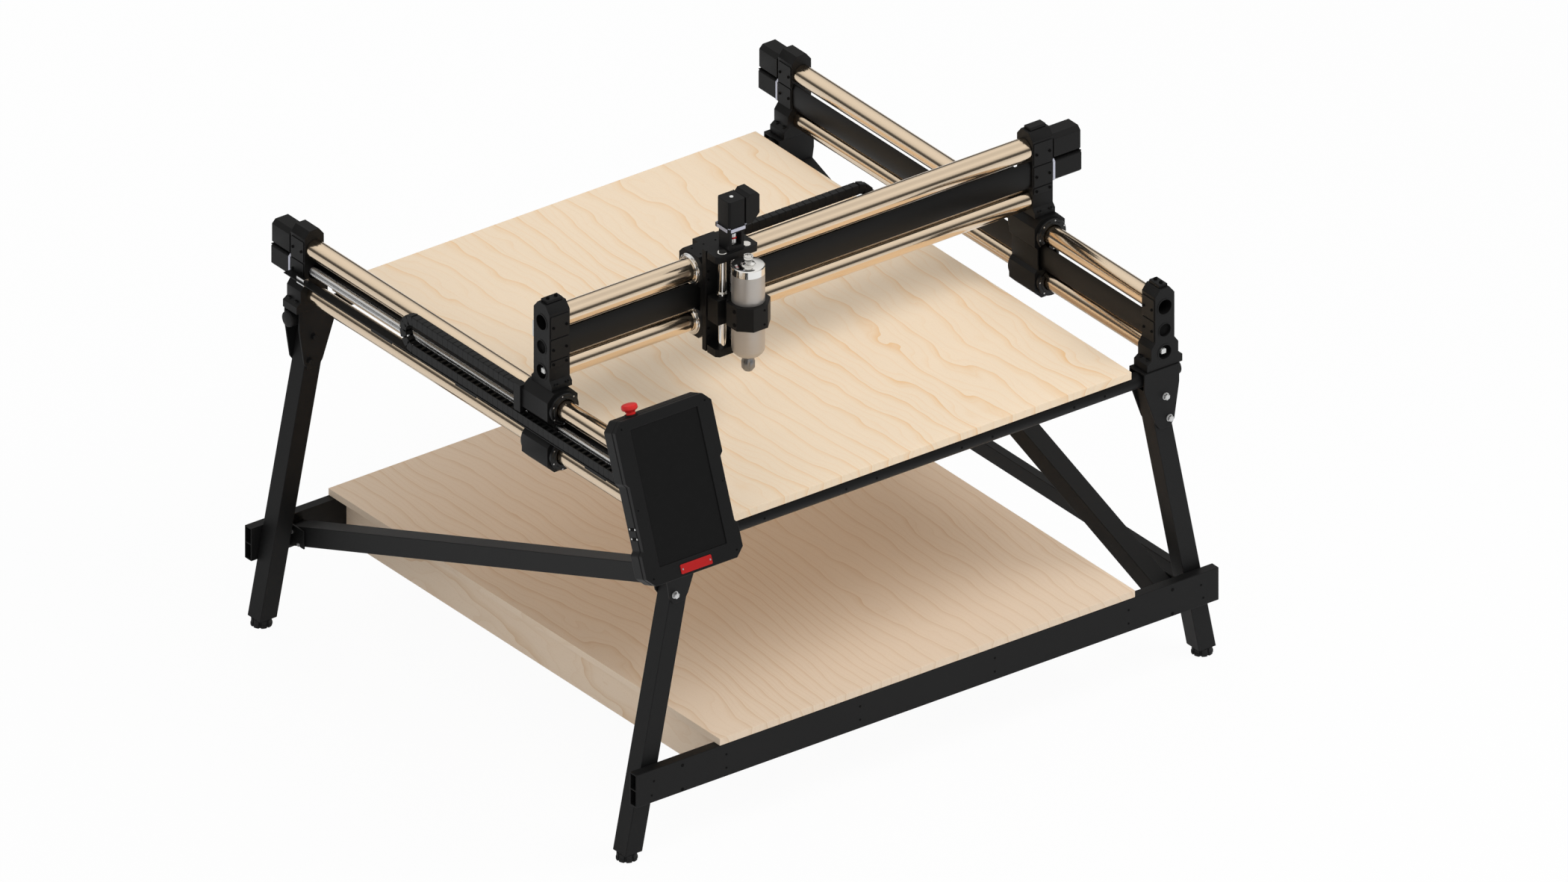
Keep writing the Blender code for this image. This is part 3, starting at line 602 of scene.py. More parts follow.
def leg_bolts(across):
    """Two bolts through each leg bracket, with nuts on the inner plate."""
    for name, end, side in CORNERS:
        outer, inner = span(f"leg_bracket_{name}", 1)[::-end]
        heads, nuts = [], []
        for x, z in ((0.7150, 0.7430), (0.7265, 0.6815)):
            heads += hex_bolt("Y", (BED.x + side * x, outer, z), across, end * 0.010)
            nuts += hex_bolt("Y", (BED.x + side * x, inner, z), across * 0.9, -end * 0.009)
        piece(f"leg_bolts_{name}", heads, "bolt_zinc", "frame")
        piece(f"leg_nuts_{name}", nuts, "coated_steel", "frame")


def beam_screws():
    """Sunk screws that hold the joists, the leg brackets and the legs to the beams, in pairs."""
    joists, brackets, legs = 0.0030, 0.0030, 0.0046
    spots = [(x, z, joists) for x in (-0.591, -0.198, 0.198, 0.591) for z in (0.1825, 0.2185)]
    for _, side in SIDES:
        spots += [(side * 0.804, 0.216, brackets), (side * 0.8104, 0.180, brackets)]
        spots += [(side * 0.720, z, legs) for z in (0.231, 0.167)]
    for row, end in ENDS:
        face = outer_face(f"lower_beam_{row}", 1, end)
        heads = []
        for x, z, radius in spots:
            steps = ((-0.0006, radius), (0.0003, radius), (0.0004, radius * 0.7))
            heads.append(turned("Y", (BED.x + x, z), stepped(face, end, steps), 18))
        piece(f"beam_screws_{row}", heads, "dark_hole", "frame")


def tube_holes():
    """Small tapped holes in pairs along the outer side of each bed tube, drawn as nearly black discs of
    painted shade, and domed end caps.
    """
    spots = [centre + gap for centre in (-0.50, -0.17, 0.17, 0.50) for gap in (-0.045, 0.045)]
    for row, end in ENDS:
        low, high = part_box(f"bed_tube_{row}")
        y, z = (low.y + high.y) / 2, (low.z + high.z) / 2
        radius = (high.z - low.z) / 2
        face = y + end * radius
        # Painted shade: each hole is a nearly black disc standing just proud of the tube's face.
        holes = [disc("Y", (BED.x + x, z), face - end * 0.002, face + end * 0.0003, 0.0032, 12)
                 for x in spots]
        piece(f"bed_tube_holes_{row}", holes, "dark_hole", "frame")
        wall = radius - 0.0033
        steps = ((-0.010, wall), (0.0, wall), (0.0, radius), (0.004, radius * 0.94), (0.006, radius * 0.6),
                 (0.0065, 0.001))
        caps = [turned("X", (y, z), stepped(edge, out, steps), 36)
                for edge, out in ((low.x, -1), (high.x, 1))]
        piece(f"bed_tube_caps_{row}", caps, "rubber", "frame")


KNOB = np.array([(0.0, 0.0240), (0.0012, 0.0262), (0.0078, 0.0262), (0.0090, 0.0246), (0.0192, 0.0246),
                 (0.0204, 0.0230)])


def levelling_knobs():
    """A notched knob under a square plug: the knob's radius dips at eight even places round."""
    turn = full_turn(96)
    lobes = 1 - 0.15 * np.clip(np.cos(turn * 8) * 3 - 1.6, 0, 1)
    for name, end, side in CORNERS:
        node = f"levelling_foot_{name}"
        x, y = BED.x + side * 0.84528, BED.y + end * 0.718
        knob = capped("Z", (x, y), KNOB[:, :1], KNOB[:, 1:] * lobes, turn)
        plug = slab("Z", polygon((x - side * 0.002, y), 0.041, 4, math.pi / 4), 0.0202, 0.0400)
        piece(node + "_finished", [knob, plug], "rubber", "frame", (node,), bevel=0.0006)


def brace_brackets():
    """Folded plates that tie the low end of each brace to its leg."""
    for name, side, end in (("left", -1, 1), ("right", 1, -1)):
        x, y = BED.x + side * 0.7512, BED.y + end * 0.7425
        plates = [block((x, y, 0.190), (x + side * wide, y - end * deep, 0.238))
                  for wide, deep in ((0.030, 0.004), (0.004, 0.070))]
        piece(f"brace_bracket_{name}", plates, "coated_steel", "frame", bevel=0.0010)
        spots = [(x + side * 0.004, y - end * place, height)
                 for place, height in ((0.024, 0.219), (0.050, 0.195))]
        piece(f"brace_screws_{name}", screws_at(spots, "X", 0.005, side * 0.003), "bolt_zinc", "frame")


# Rails and castings.


def rod(node, axis):
    """Both ends of a round piece along its axis, its centre on the other two, and its radius."""
    index = "XYZ".index(axis)
    low, high = span(node, 0 if axis == "Z" else 2)
    _, centre = taken(axis, middle_of(node))
    return *span(node, index), centre, (high - low) / 2


def tubes(facets):
    """Polished tubes, each a straight turned wall with a small chamfer at its mouth."""
    wall, chamfer = 0.003, 0.0008
    names = [f"y_tube_{level}_{hand}" for level in ("upper", "lower") for hand, _ in SIDES]
    for name in [*names, "x_tube_upper", "x_tube_lower"]:
        axis = name[0].upper()
        start, end, centre, radius = rod(name, axis)
        mouth, inner = radius - chamfer, radius - wall
        profile = [(start, mouth), (start + chamfer, radius), (end - chamfer, radius), (end, mouth),
                   (end, inner), (start, inner)]
        piece(name + "_finished", [turned(axis, centre, profile, facets, closed=True)],
              f"tube_along_{axis.lower()}", BODY_OF[name], (name,))


def screws(lead, groove):
    for name in ("y_screw_left", "y_screw_right", "x_screw", "z_screw"):
        axis = name[0].upper()
        start, end, centre, radius = rod(name, axis)
        piece(name + "_finished", [ball_screw(axis, centre, radius, lead / 2, groove, start, end)],
              "screw_steel", BODY_OF[name], (name,), sharp=60.0)


def top_block(name, axis, centre, height, start, end, body):
    outline = cut_corners((centre - 0.0125, height + 0.049), (centre + 0.0125, height + 0.058), 0.002)
    piece(f"{name}_top_block", [slab(axis, outline, start, end)], "anodised", body, bevel=0.0008)


def column_trim(name, axis, centre, out, low, high, marks, body):
    """The fittings on one upright casting, drawn on a face across the axis.

    centre is the upright's place across its width, out points away from the tubes, and marks holds the
    heights of its upper bore, screw bore and lower recess.
    """
    upper, screw, lower = marks
    face = high if out > 0 else low
    thickness = high - low
    bores = ((upper, 0.0225, 0.0192, 48), (screw, 0.0195, 0.0168, 40), (lower, 0.0215, 0.0182, 44))
    rims = [ring(axis, (centre, height), outer, inner, face - out * 0.002, face + out * 0.0008, count)
            for height, outer, inner, count in bores]
    piece(f"{name}_bore_rims", rims, "anodised", body)
    # Painted shade: a nearly black disc at the floor of the lower recess.
    floor = face - out * 0.0110
    piece(f"{name}_recess_floor", [disc(axis, (centre, lower), floor - out * 0.001, floor, 0.0178)],
          "dark_hole", body)
    plug = cut_corners((centre - 0.0065, lower - 0.0060), (centre + 0.0065, lower + 0.0060), 0.001)
    piece(f"{name}_connector", [slab(axis, plug, floor, face - out * 0.004)], "label_white", body,
          bevel=0.0004)
    # Painted shade: a nearly black disc sunk in the screw bore.
    steps = ((-0.0070, 0.0163), (-0.0055, 0.0163), (-0.0050, 0.0150))
    cover = turned(axis, (centre, screw), stepped(face, out, steps), 36)
    piece(f"{name}_bore_cover", [cover], "dark_hole", body)
    inset = thickness * 0.12
    top_block(name, axis, centre, upper, low + inset, high - inset, body)
    spots = [spot_on(axis, low + thickness * share, centre, upper + 0.058) for share in (0.30, 0.70)]
    piece(f"{name}_top_screws", screws_at(spots, "Z", 0.0045, 0.004), "dark_hole", body)


def spot_on(axis, lead, across, height):
    return (lead, across, height) if axis == "X" else (across, lead, height)


def side_plates(name, axis, low, high, across, out, marks, body):
    """Raised clamp plates on one flank, split by two grooves, with their screws.

    across is the flank's place, and out is the way that it faces.
    """
    upper, screw, lower = marks
    bands = [(screw + 0.031, upper + 0.024), (screw - 0.026, screw + 0.028), (lower + 0.020, screw - 0.029)]
    flank = {"X": "Y", "Y": "X"}[axis]
    face = across + out * 0.0022
    plates, spots = [], []
    for bottom, top in bands:
        if top - bottom < 0.012:
            continue
        outline = cut_corners((low + 0.003, bottom), (high - 0.003, top), 0.002)
        plates.append(slab(flank, outline, *sorted((across - out * 0.001, face))))
        spots += [spot_on(axis, place, face, (bottom + top) / 2) for place in (low + 0.011, high - 0.011)]
    piece(f"{name}_clamp_plates", plates, "anodised", body, bevel=0.0007)
    piece(f"{name}_clamp_screws", screws_at(spots, flank, 0.0036, out * 0.0022), "dark_hole", body)


def foot_bolts(name, axis, low, high, centre, height, body):
    """Two screws sunk in each shoulder of a flared base."""
    spots = [spot_on(axis, lead, centre + way * 0.040, height)
             for lead in (low + 0.014, high - 0.014) for way in (-1, 1)]
    piece(f"{name}_base_bolts", screws_at(spots, "Z", 0.0062, 0.0035), "coated_steel", body)


def rail_feet():
    marks = [sum(span(node, 2)) / 2 for node in ("y_tube_upper_left", "y_screw_left", "y_tube_lower_left")]
    for name, end, _ in CORNERS:
        node = f"rail_foot_{name}"
        machined(node, "anodised", 0.0010)
        centre = sum(span(node, 0)) / 2
        low, high = span(node, 1)
        if end < 0:
            column_trim(node, "Y", centre, end, low, high, marks, "frame")
        for hand, way in SIDES:
            side_plates(f"{node}_{hand}", "Y", low, high, centre + way * 0.0285, way, marks, "frame")
        foot_bolts(node, "Y", low, high, centre, 0.8440, "frame")


def panels():
    for node in ("y_panel_left", "y_panel_right", "gantry_panel"):
        machined(node, "panel_black", 0.0020, 3)


def motors():
    """A motor with a silver end plate, four tie screws and a nearly black line of painted shade where its
    cover meets its body.
    """
    for node, axis in (("y_motor_left", "Y"), ("y_motor_right", "Y"), ("x_motor", "X")):
        body = BODY_OF[node]
        low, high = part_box(node)
        index = "XYZ".index(axis)
        start, end = low[index], high[index] - 0.0012
        machined(node, "motor_black", 0.0030, 3, (index, end))
        across = (low[1 - index] + high[1 - index]) / 2
        foot = low.z
        outline = cut_corners((across - 0.0300, foot - 0.0010), (across + 0.0300, foot + 0.0590), 0.006)
        piece(f"{node}_plate", [slab(axis, outline, start + 0.0005, start + 0.0075)], "flange_silver", body,
              bevel=0.0006)
        # Painted shade: a thin nearly black strip in the gap between the cover and the body.
        outline = cut_corners((across - 0.0289, foot + 0.0555), (across + 0.0289, foot + 0.0578), 0.0005)
        piece(f"{node}_seam", [slab(axis, outline, start + 0.008, end - 0.001)], "dark_hole", body)
        spots = [spot_on(axis, end, across + a * 0.0215, foot + 0.0285 + b * 0.0215)
                 for a in (-1, 1) for b in (-1, 1)]
        piece(f"{node}_screws", screws_at(spots, axis, 0.0034, 0.0011), "dark_hole", body)


# The panel's gap in a side seal, in degrees, and the seals' profiles: rise from the face, and radius.
PANEL_GAP = (33.0, 68.0)
SEAL_SCREWS = 6
SIDE_SEAL = ((-0.002, 0.0415), (0.0085, 0.0415), (0.0105, 0.0395), (0.0105, 0.0335), (0.0122, 0.0318),
             (0.0122, 0.0268), (0.0100, 0.0252), (-0.002, 0.0252))
CROSS_SEAL = ((-0.004, 0.0394), (0.0025, 0.0394), (0.0031, 0.0372), (0.0050, 0.0368), (0.0056, 0.0338),
              (0.0074, 0.0328), (0.0074, 0.0292), (-0.004, 0.0292))


def side_seals(node, tube_x, heights, side):
    """A ring round each side tube at both ends of a carriage, left open where the panel passes through."""
    rings, heads = [], []
    for face, out in ((BED.y - 0.2925, -1), (BED.y - 0.1915, 1)):
        for height, way in zip(heights, (-1, 1)):
            first, last = (way * angle if side < 0 else 180 - way * angle for angle in PANEL_GAP)
            start, sweep = max(first, last), 360 - abs(last - first)
            rings.append(arc("Y", (tube_x, height), stepped(face, out, SIDE_SEAL), start, sweep))
            for step in range(SEAL_SCREWS):
                turn = math.radians(start + sweep * (step + 0.5) / SEAL_SCREWS)
                x, z = tube_x + 0.0370 * math.cos(turn), height + 0.0370 * math.sin(turn)
                heads.append(socket_screw("Y", (x, face + out * 0.0104, z), 0.0019, out * 0.0014))
    piece(f"{node}_seals", rings, "seal_gloss", "gantry", bevel=0.0004)
    piece(f"{node}_seal_screws", heads, "screw_steel", "gantry")


def cross_seals(node, centres):
    """A bright ring of three steps round each gantry tube at both ends of the cross carriage."""
    rings = [turned("X", centre, stepped(face, out, CROSS_SEAL), 64, closed=True)
             for face, out in zip(span(node, 0), (-1, 1)) for centre in centres]
    piece(f"{node}_seals", rings, "cap_chrome", "cross_carriage")


def carriages():
    heights = [middle_of(f"y_tube_{level}_left").z for level in ("upper", "lower")]
    tube = middle_of("x_tube_upper")
    for hand, side in SIDES:
        node = f"y_carriage_{hand}"
        machined(node, "anodised", 0.0010)
        side_seals(node, middle_of(f"y_tube_upper_{hand}").x, heights, side)
        node = f"gantry_side_{hand}"
        foot_bolts(node, "X", *span(node, 0), tube.y, 1.0380, "gantry")
    machined("x_carriage", "anodised", 0.0012)
    low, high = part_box("x_carriage")
    cross_seals("x_carriage", [(tube.y, tube.z), (tube.y, middle_of("x_tube_lower").z)])
    spots = [(low.x + a, tube.y + b, high.z) for a in (0.016, 0.050, 0.085) for b in (-0.018, 0.016)]
    piece("x_carriage_screws", screws_at(spots, "Z", 0.0024, 0.0006), "dark_hole", "cross_carriage")


def gantry_sides():
    marks = [middle_of(node).z for node in ("x_tube_upper", "x_screw", "x_tube_lower")]
    centre = middle_of("x_tube_upper").y
    for hand, side in SIDES:
        node = f"gantry_side_{hand}"
        machined(node, "anodised", 0.0010)
        low, high = span(node, 0)
        if side < 0:
            column_trim(node, "X", centre, side, low, high, marks, "gantry")
        else:
            top_block(node, "X", centre, marks[0], low + 0.007, high - 0.007, "gantry")
        for flank, out in (("front", -1), ("back", 1)):
            side_plates(f"{node}_{flank}", "X", low, high, centre + out * 0.031, out, marks, "gantry")


def limit_switch():
    """A small grey switch behind the left gantry side, and a bracket at the left rail's back end."""
    low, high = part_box("gantry_side_left")
    body = block((low.x + 0.006, high.y - 0.009, 1.137), (low.x + 0.034, high.y + 0.004, 1.180))
    piece("cross_limit_switch", [body], "label_white", "gantry", bevel=0.0010)
    low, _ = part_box("rail_foot_rear_left")
    corner = (low.x + 0.004, low.y - 0.022, 0.902)
    bracket = [block(corner, (low.x + wide, low.y + back, 0.920))
               for wide, back in ((0.0055, 0.006), (0.018, -0.0205))]
    piece("side_limit_bracket", bracket, "screw_steel", "frame", bevel=0.0005)


# Cross slide and spindle.


def vertical_slide():
    """Two rods with their caps, the bushes on them, the shaft coupling and the plate's screws."""
    machined("z_frame", "anodised", 0.0012)
    machined("z_block", "anodised", 0.0014, 3)
    centre = middle_of("z_frame").x
    top = span("z_block", 2)[1]
    cap = [(1.2675, 0.0120), (1.2694, 0.0120), (1.2705, 0.0108), (1.2705, 0.002)]
    places = [(centre + side * 0.035, BED.y - 0.330) for _, side in SIDES]
    rods = [disc("Z", place, 1.0195, 1.2505, 0.0103, 48) for place in places]
    piece("lift_rods", rods, "rod_chrome", "cross_carriage")
    piece("lift_rod_caps", [turned("Z", place, cap) for place in places], "rod_chrome", "cross_carriage")
    sleeves = [ring("Z", place, 0.0150, 0.0105, top - 0.001, top + 0.0035) for place in places]
    piece("lift_bushes", sleeves, "rod_chrome", "vertical_slide")
    _, axle = taken("Z", middle_of("z_screw"))
    hubs = []
    for low, high in ((1.2812, 1.2950), (1.2990, 1.3130)):
        profile = [(low, 0.0104), (low + 0.0010, 0.0114), (high - 0.0010, 0.0114), (high, 0.0104)]
        hubs.append(turned("Z", axle, profile, 36))
    piece("lift_coupling", hubs, "screw_steel", "z_screw_rotor")
    piece("lift_coupling_spider", [disc("Z", axle, 1.2945, 1.2995, 0.0110)], "red_plate", "z_screw_rotor")
    spots = [(centre + side * 0.055, BED.y - 0.3021, height)
             for height in (1.040, 1.060, 1.190, 1.212) for _, side in SIDES]
    piece("slide_plate_screws", screws_at(spots, "Y", 0.0036, -0.0020), "dark_hole", "cross_carriage")


def spindle_clamp():
    """Pinch screws on the clamp's faces, and the slot that they close as a nearly black block of painted
    shade.
    """
    place = middle_of("spindle_body")
    front, left = BED.y - 0.441, place.x - 0.050
    heads = screws_at([(place.x + 0.011, front, z) for z in (1.110, 1.148)], "Y", 0.0028, -0.0010)
    heads += screws_at([(left, place.y - 0.012, z) for z in (1.1115, 1.1465)], "X", 0.0052, -0.0014)
    piece("clamp_screws", heads, "dark_hole", "vertical_slide")
    # Painted shade: the slot is a nearly black block.
    slot = block((left - 0.0003, place.y + 0.0185, 1.0978), (left + 0.016, place.y + 0.0205, 1.1602))
    piece("clamp_slot", [slot], "dark_hole", "vertical_slide")


# Profiles of the spindle's turned parts: height, and radius.
SPINDLE_RADIUS = 0.040
SLEEVE = ((1.0080, 0.0135), (1.0110, 0.0150), (1.0125, 0.0235), (1.0165, 0.0300), (1.0220, 0.0355),
          (1.0280, 0.0388), (1.0330, SPINDLE_RADIUS), (1.2330, SPINDLE_RADIUS))
SPINDLE_CAP = ((1.2330, SPINDLE_RADIUS - 0.0002), (1.2333, SPINDLE_RADIUS + 0.0002),
               (1.2515, SPINDLE_RADIUS + 0.0002), (1.2538, 0.0386), (1.2545, 0.0360), (1.2545, 0.0180),
               (1.2535, 0.0170), (1.2535, 0.004))
CONNECTOR = ((1.2530, 0.0160), (1.2575, 0.0160), (1.2585, 0.0125), (1.2600, 0.0095), (1.2690, 0.0095),
             (1.2700, 0.0110), (1.2758, 0.0125), (1.2765, 0.0122), (1.2765, 0.0105), (1.2720, 0.0095))
NOSE = ((1.0068, 0.0090), (1.0068, 0.0135), (1.0082, 0.0135), (1.0082, 0.0090))
NUT = np.array([(0.9712, 0.0070), (0.9712, 0.0105), (0.9790, 0.0160), (0.9960, 0.0165), (0.9990, 0.0150),
                (1.0065, 0.0140)])
NUT_SLOTS = (0.975, 0.998)


def spindle():
    """Turned body, polished cap with a round connector, and a collet nut with six slots."""
    _, centre = taken("Z", middle_of("spindle_body"))
    sleeve = turned("Z", centre, SLEEVE, 96)
    piece("spindle_body_finished", [sleeve], "spindle_satin", "vertical_slide", ("spindle_body",), sharp=30.0)
    piece("spindle_cap", [turned("Z", centre, SPINDLE_CAP, 96)], "cap_chrome", "vertical_slide", sharp=25.0)
    for name, profile, count in (("connector", CONNECTOR, 40), ("nose", NOSE, 48)):
        piece(f"spindle_{name}", [turned("Z", centre, profile, count)], "cap_chrome", "vertical_slide")
    turn = full_turn(96)
    height, radius = NUT[:, :1], NUT[:, 1:]
    notched = (height > NUT_SLOTS[0]) & (height < NUT_SLOTS[1])
    dip = 0.13 * np.clip(np.cos(turn * 6) * 4 - 2.2, 0, 1)
    nut = capped("Z", centre, height, radius * (1 - notched * dip), turn)
    piece("collet_nut_finished", [nut], "collet_dark", "spindle_rotor", ("collet_nut",), bevel=0.0004)


def lift_motor():
    """A silver plate with four ears, a pale plug on top, and the line between the motor and its cover, a
    nearly black strip of painted shade.
    """
    machined("z_motor", "motor_black", 0.0030, 3)
    low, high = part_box("z_motor")
    centre, top = low.x + 0.0275, high.z - 0.005
    y = BED.y - 0.3195
    outline = cut_corners((centre - 0.0285, y - 0.0280), (centre + 0.0285, y + 0.0280), 0.008)
    piece("z_motor_plate", [slab("Z", outline, low.z + 0.0010, low.z + 0.0100)], "flange_silver",
          "cross_carriage", bevel=0.0006)
    spots = [(centre + a * 0.0235, y + b * 0.0230, low.z + 0.0085) for a in (-1, 1) for b in (-1, 1)]
    piece("z_motor_ears", screws_at(spots, "Z", 0.0036, 0.0040), "flange_silver", "cross_carriage")
    plug = stepped(top, 1, ((-0.001, 0.0048), (0.0012, 0.0045), (0.0012, 0.002)))
    piece("z_motor_plug", [turned("Z", (centre, y), plug, 24)], "label_white", "cross_carriage")
    # Painted shade: a nearly black strip in the gap between the motor and its cover.
    seam = block((centre + 0.0234, y - 0.0254, low.z + 0.0135), (centre + 0.0244, y + 0.0254, top + 0.0004))
    piece("z_motor_seam", [seam], "dark_hole", "cross_carriage")


# Chains.


def chain_link(pitch, thick, wide):
    """One link along X, with its outer side up: a closed lid, two side plates and an inner crossbar."""
    half, reach, edge = thick / 2, pitch * 0.465, wide / 2
    side = cut_corners((-pitch * 0.495, -half), (pitch * 0.495, half - 0.0018), 0.0010)
    plates = [slab("Y", side, way * edge, way * (edge - 0.0026)) for way in (-1, 1)]
    lid = block((-reach, -edge + 0.0006, half - 0.0030), (reach, edge - 0.0006, half))
    bar = reach * 0.42
    return [*plates, lid, block((-bar, -edge + 0.002, -half + 0.0004), (bar, edge - 0.002, -half + 0.0028))]


def placed_link(place, turn, pitch, thick, wide):
    matrix = Matrix.Translation(place) @ turn
    return [turned_by(part, matrix) for part in chain_link(pitch, thick, wide)]


CHAIN_THICK = 0.0245
UPPER_GROUPS = 8
# How far the bend's blend reaches on each side of the bend.
FAR = 60.0


def step_place(share):
    """Where between its two ends a blend's smooth step reaches a share: the step's own inverse."""
    return 0.5 - math.sin(math.asin(1 - 2 * share) / 3)


def blend_ends(first, last, first_share, last_share):
    """Start and end of the blend that gives two places along a chain exactly those shares of the travel."""
    low, high = step_place(first_share), step_place(last_share)
    reach = (last - first) / (high - low)
    return first - low * reach, first + (1 - low) * reach


def chain(name, node, pitch, axis, home, away, end):
    """The chain's three stretches. home and away, meant as the bodies for its two ends, are not used."""
    low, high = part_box(node)
    index = "XYZ".index(axis)
    across = 1 - index
    wide = high[across] - low[across]
    middle = (low[across] + high[across]) / 2
    half, outer = CHAIN_THICK / 2, (high.z - low.z) / 2
    bend, radius = high[index] - outer, outer - half
    turn = Matrix.Identity(4) if axis == "X" else Matrix.Rotation(math.pi / 2, 4, "Z")

    def at(lead, height):
        return Vector((lead, middle, height) if axis == "X" else (middle, lead, height))

    def run(label, start, stop, height, flip, stands_for=()):
        count = max(1, round(abs(stop - start) / pitch))
        step = (stop - start) / count
        spin = turn @ Matrix.Rotation(flip, 4, "Y")
        parts = []
        for i in range(count):
            parts += placed_link(at(start + step * (i + 0.5), height), spin, abs(step), CHAIN_THICK, wide)
        return piece(f"{name}_{label}", parts, "chain_black", None, stands_for, bevel=0.0004, segments=1)

    lower = run("lower_run", low[index], bend, low.z + half, math.pi, (node,))
    blends = [(lower, low[index], 2 * bend - low[index])]
    links = round(abs(end - bend) / pitch)
    shares = [round(i * links / UPPER_GROUPS) / links for i in range(UPPER_GROUPS + 1)]
    for number, (near, far) in enumerate(zip(shares, shares[1:])):
        first, last = (bend + (end - bend) * share for share in (near, far))
        group = run(f"upper_run_{number}", first, last, high.z - half, 0.0)
        blends.append((group, *blend_ends(first, last, 0.5 + near / 2, 0.5 + far / 2)))
    parts = []
    steps = round(math.pi * radius / pitch)
    for i in range(steps):
        angle = math.pi * (i + 0.5) / steps - math.pi / 2
        place = at(bend + radius * math.cos(angle), (high.z + low.z) / 2 + radius * math.sin(angle))
        spin = turn @ Matrix.Rotation(math.pi / 2 - angle, 4, "Y")
        parts += placed_link(place, spin, pitch * 1.04, CHAIN_THICK, wide)
    turn_piece = piece(f"{name}_bend", parts, "chain_black", None, bevel=0.0005, segments=1)
    blends.append((turn_piece, bend + FAR, bend - FAR))
    for obj, start, stop in blends:
        tuple(at(start, middle))
        tuple(at(stop, middle))
        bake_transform(obj)


def gantry_tray():
    low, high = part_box("x_drag_chain")
    left, right = span("gantry_side_left", 0)[1] - 0.010, span("gantry_side_right", 0)[0] + 0.010
    floor, wall = low.z - 0.0006, high.y + 0.0035
    under = floor - 0.003
    tray = [block((left, low.y - 0.0005, under), (right, high.y + 0.002, floor)),
            block((left, wall - 0.002, under), (right, wall, floor + 0.014))]
    piece("gantry_chain_tray", tray, "coated_steel", "gantry", bevel=0.0005)
    props = [block((x, low.y - 0.022, under), (x + 0.012, low.y + 0.002, floor - 0.0005))
             for x in (left, right - 0.012)]
    piece("gantry_tray_brackets", props, "coated_steel", "gantry")


# Controller.


CASE_WIDTH, CASE_HEIGHT, CASE_DEPTH = 0.1415, 0.2025, 0.050
CASE_CORNER, CASE_WAIST = 0.022, 0.008
SCREEN_RAISED = 0.007


def case_outline():
    """Half the width at each height, from the bottom up: cut corners and a shallow waist."""
    width, height, corner, waist = CASE_WIDTH, CASE_HEIGHT, CASE_CORNER, CASE_WIDTH - CASE_WAIST
    right = [(width - corner, -height), (width, corner - height), (width, -0.123), (waist, -0.114),
             (waist, 0.044), (width, 0.053), (width, height - corner), (width - corner, height)]
    return right + [(-x, z) for x, z in reversed(right)]


def controller(screen_width, screen_height, tilt):
    """A bezel round the glass, a seam and a back, with its plate, screws and side ports. The seam and the
    ports are nearly black, painted shade in their gaps.
    """
    low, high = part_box("controller_case")
    centre = tuple((a + b) / 2 for a, b in zip(low, high))
    lean = Matrix.Rotation(-tilt, 4, "X")
    home = Matrix.Translation(centre) @ lean @ Matrix.Translation((0, -CASE_DEPTH / 2, 0))
    outline = case_outline()

    def put(name, parts, material, body="frame", stands_for=(), **edges):
        return piece(name, [turned_by(part, home) for part in parts], material, body, stands_for, **edges)

    half_w, half_h, raised = screen_width / 2, screen_height / 2, SCREEN_RAISED
    edge = np.array(outline)
    hole = np.clip(edge, (-half_w, raised - half_h), (half_w, raised + half_h))
    rings = [(0.0, edge), (0.0135, edge), (0.0135, hole), (0.0, hole)]
    points = np.stack([spread("Y", np.array([d]), line[:, 0], line[:, 1]) for d, line in rings])
    put("controller_bezel", [grid(points, around=True, along=True)], "case_black", bevel=0.0016, segments=3)
    shrunk = [(x * 0.972, z * 0.982) for x, z in outline]
    # Painted shade: a nearly black band in the gap between the bezel and the back.
    put("controller_seam", [slab("Y", shrunk, 0.0125, 0.0165)], "dark_hole")
    put("controller_back", [slab("Y", outline, 0.0155, CASE_DEPTH)], "case_black",
        stands_for=("controller_case",), bevel=0.0030, segments=3)
    wide, tall = half_w + 0.002, half_h + 0.002
    cover = block((-wide, 0.0030, raised - tall), (wide, 0.0060, raised + tall))
    put("controller_screen", [cover], "screen_glass")
    plate = slab("Y", cut_corners((-0.0435, -0.1955), (0.0475, -0.1725), 0.002), -0.0022, 0.001)
    put("controller_plate", [plate], "red_plate", bevel=0.0006)
    spots = [(x, -0.0022, -0.1840) for x in (-0.038, 0.042)]
    put("controller_plate_screws", screws_at(spots, "Y", 0.0022, -0.0008), "bolt_zinc")
    heads = screws_at([(a * 0.122, 0.0, b * 0.184) for a in (-1, 1) for b in (-1, 1)], "Y", 0.0024, -0.0006)
    heads += screws_at([(a * 0.124, 0.0, -0.015) for a in (-1, 1)], "Y", 0.0020, -0.0006)
    put("controller_screws", heads, "dark_hole")
    side = CASE_WAIST - CASE_WIDTH
    rows = (-0.060, -0.084)
    # Painted shade: the port openings are nearly black blocks.
    ports = [block((side - 0.0006, 0.021, z - 0.004), (side + 0.004, 0.036, z + 0.004)) for z in rows]
    put("controller_ports", ports, "dark_hole")
    spots = [(side + 0.0004, y, z) for z in rows for y in (0.0175, 0.0395)]
    lights = screws_at(spots, "X", 0.0024, -0.0010)
    lights += screws_at([(-0.1403, 0.028, z) for z in (-0.132, -0.171)], "X", 0.0026, -0.0011)
    put("controller_port_screws", lights, "label_white")
    machined("controller_arm", "coated_steel", 0.0015)


BUTTON = ((-0.0080, 0.0105), (0.0015, 0.0108), (0.0020, 0.0118), (0.0045, 0.0118), (0.0052, 0.0108),
          (0.0068, 0.0108), (0.0075, 0.0122), (0.0105, 0.0135), (0.0125, 0.0180), (0.0150, 0.0198),
          (0.0205, 0.0200), (0.0240, 0.0188), (0.0262, 0.0150), (0.0268, 0.0090), (0.0270, 0.0010))
COLLAR = ((-0.002, 0.0165), (0.0012, 0.0160), (0.0012, 0.0125), (-0.002, 0.0122))


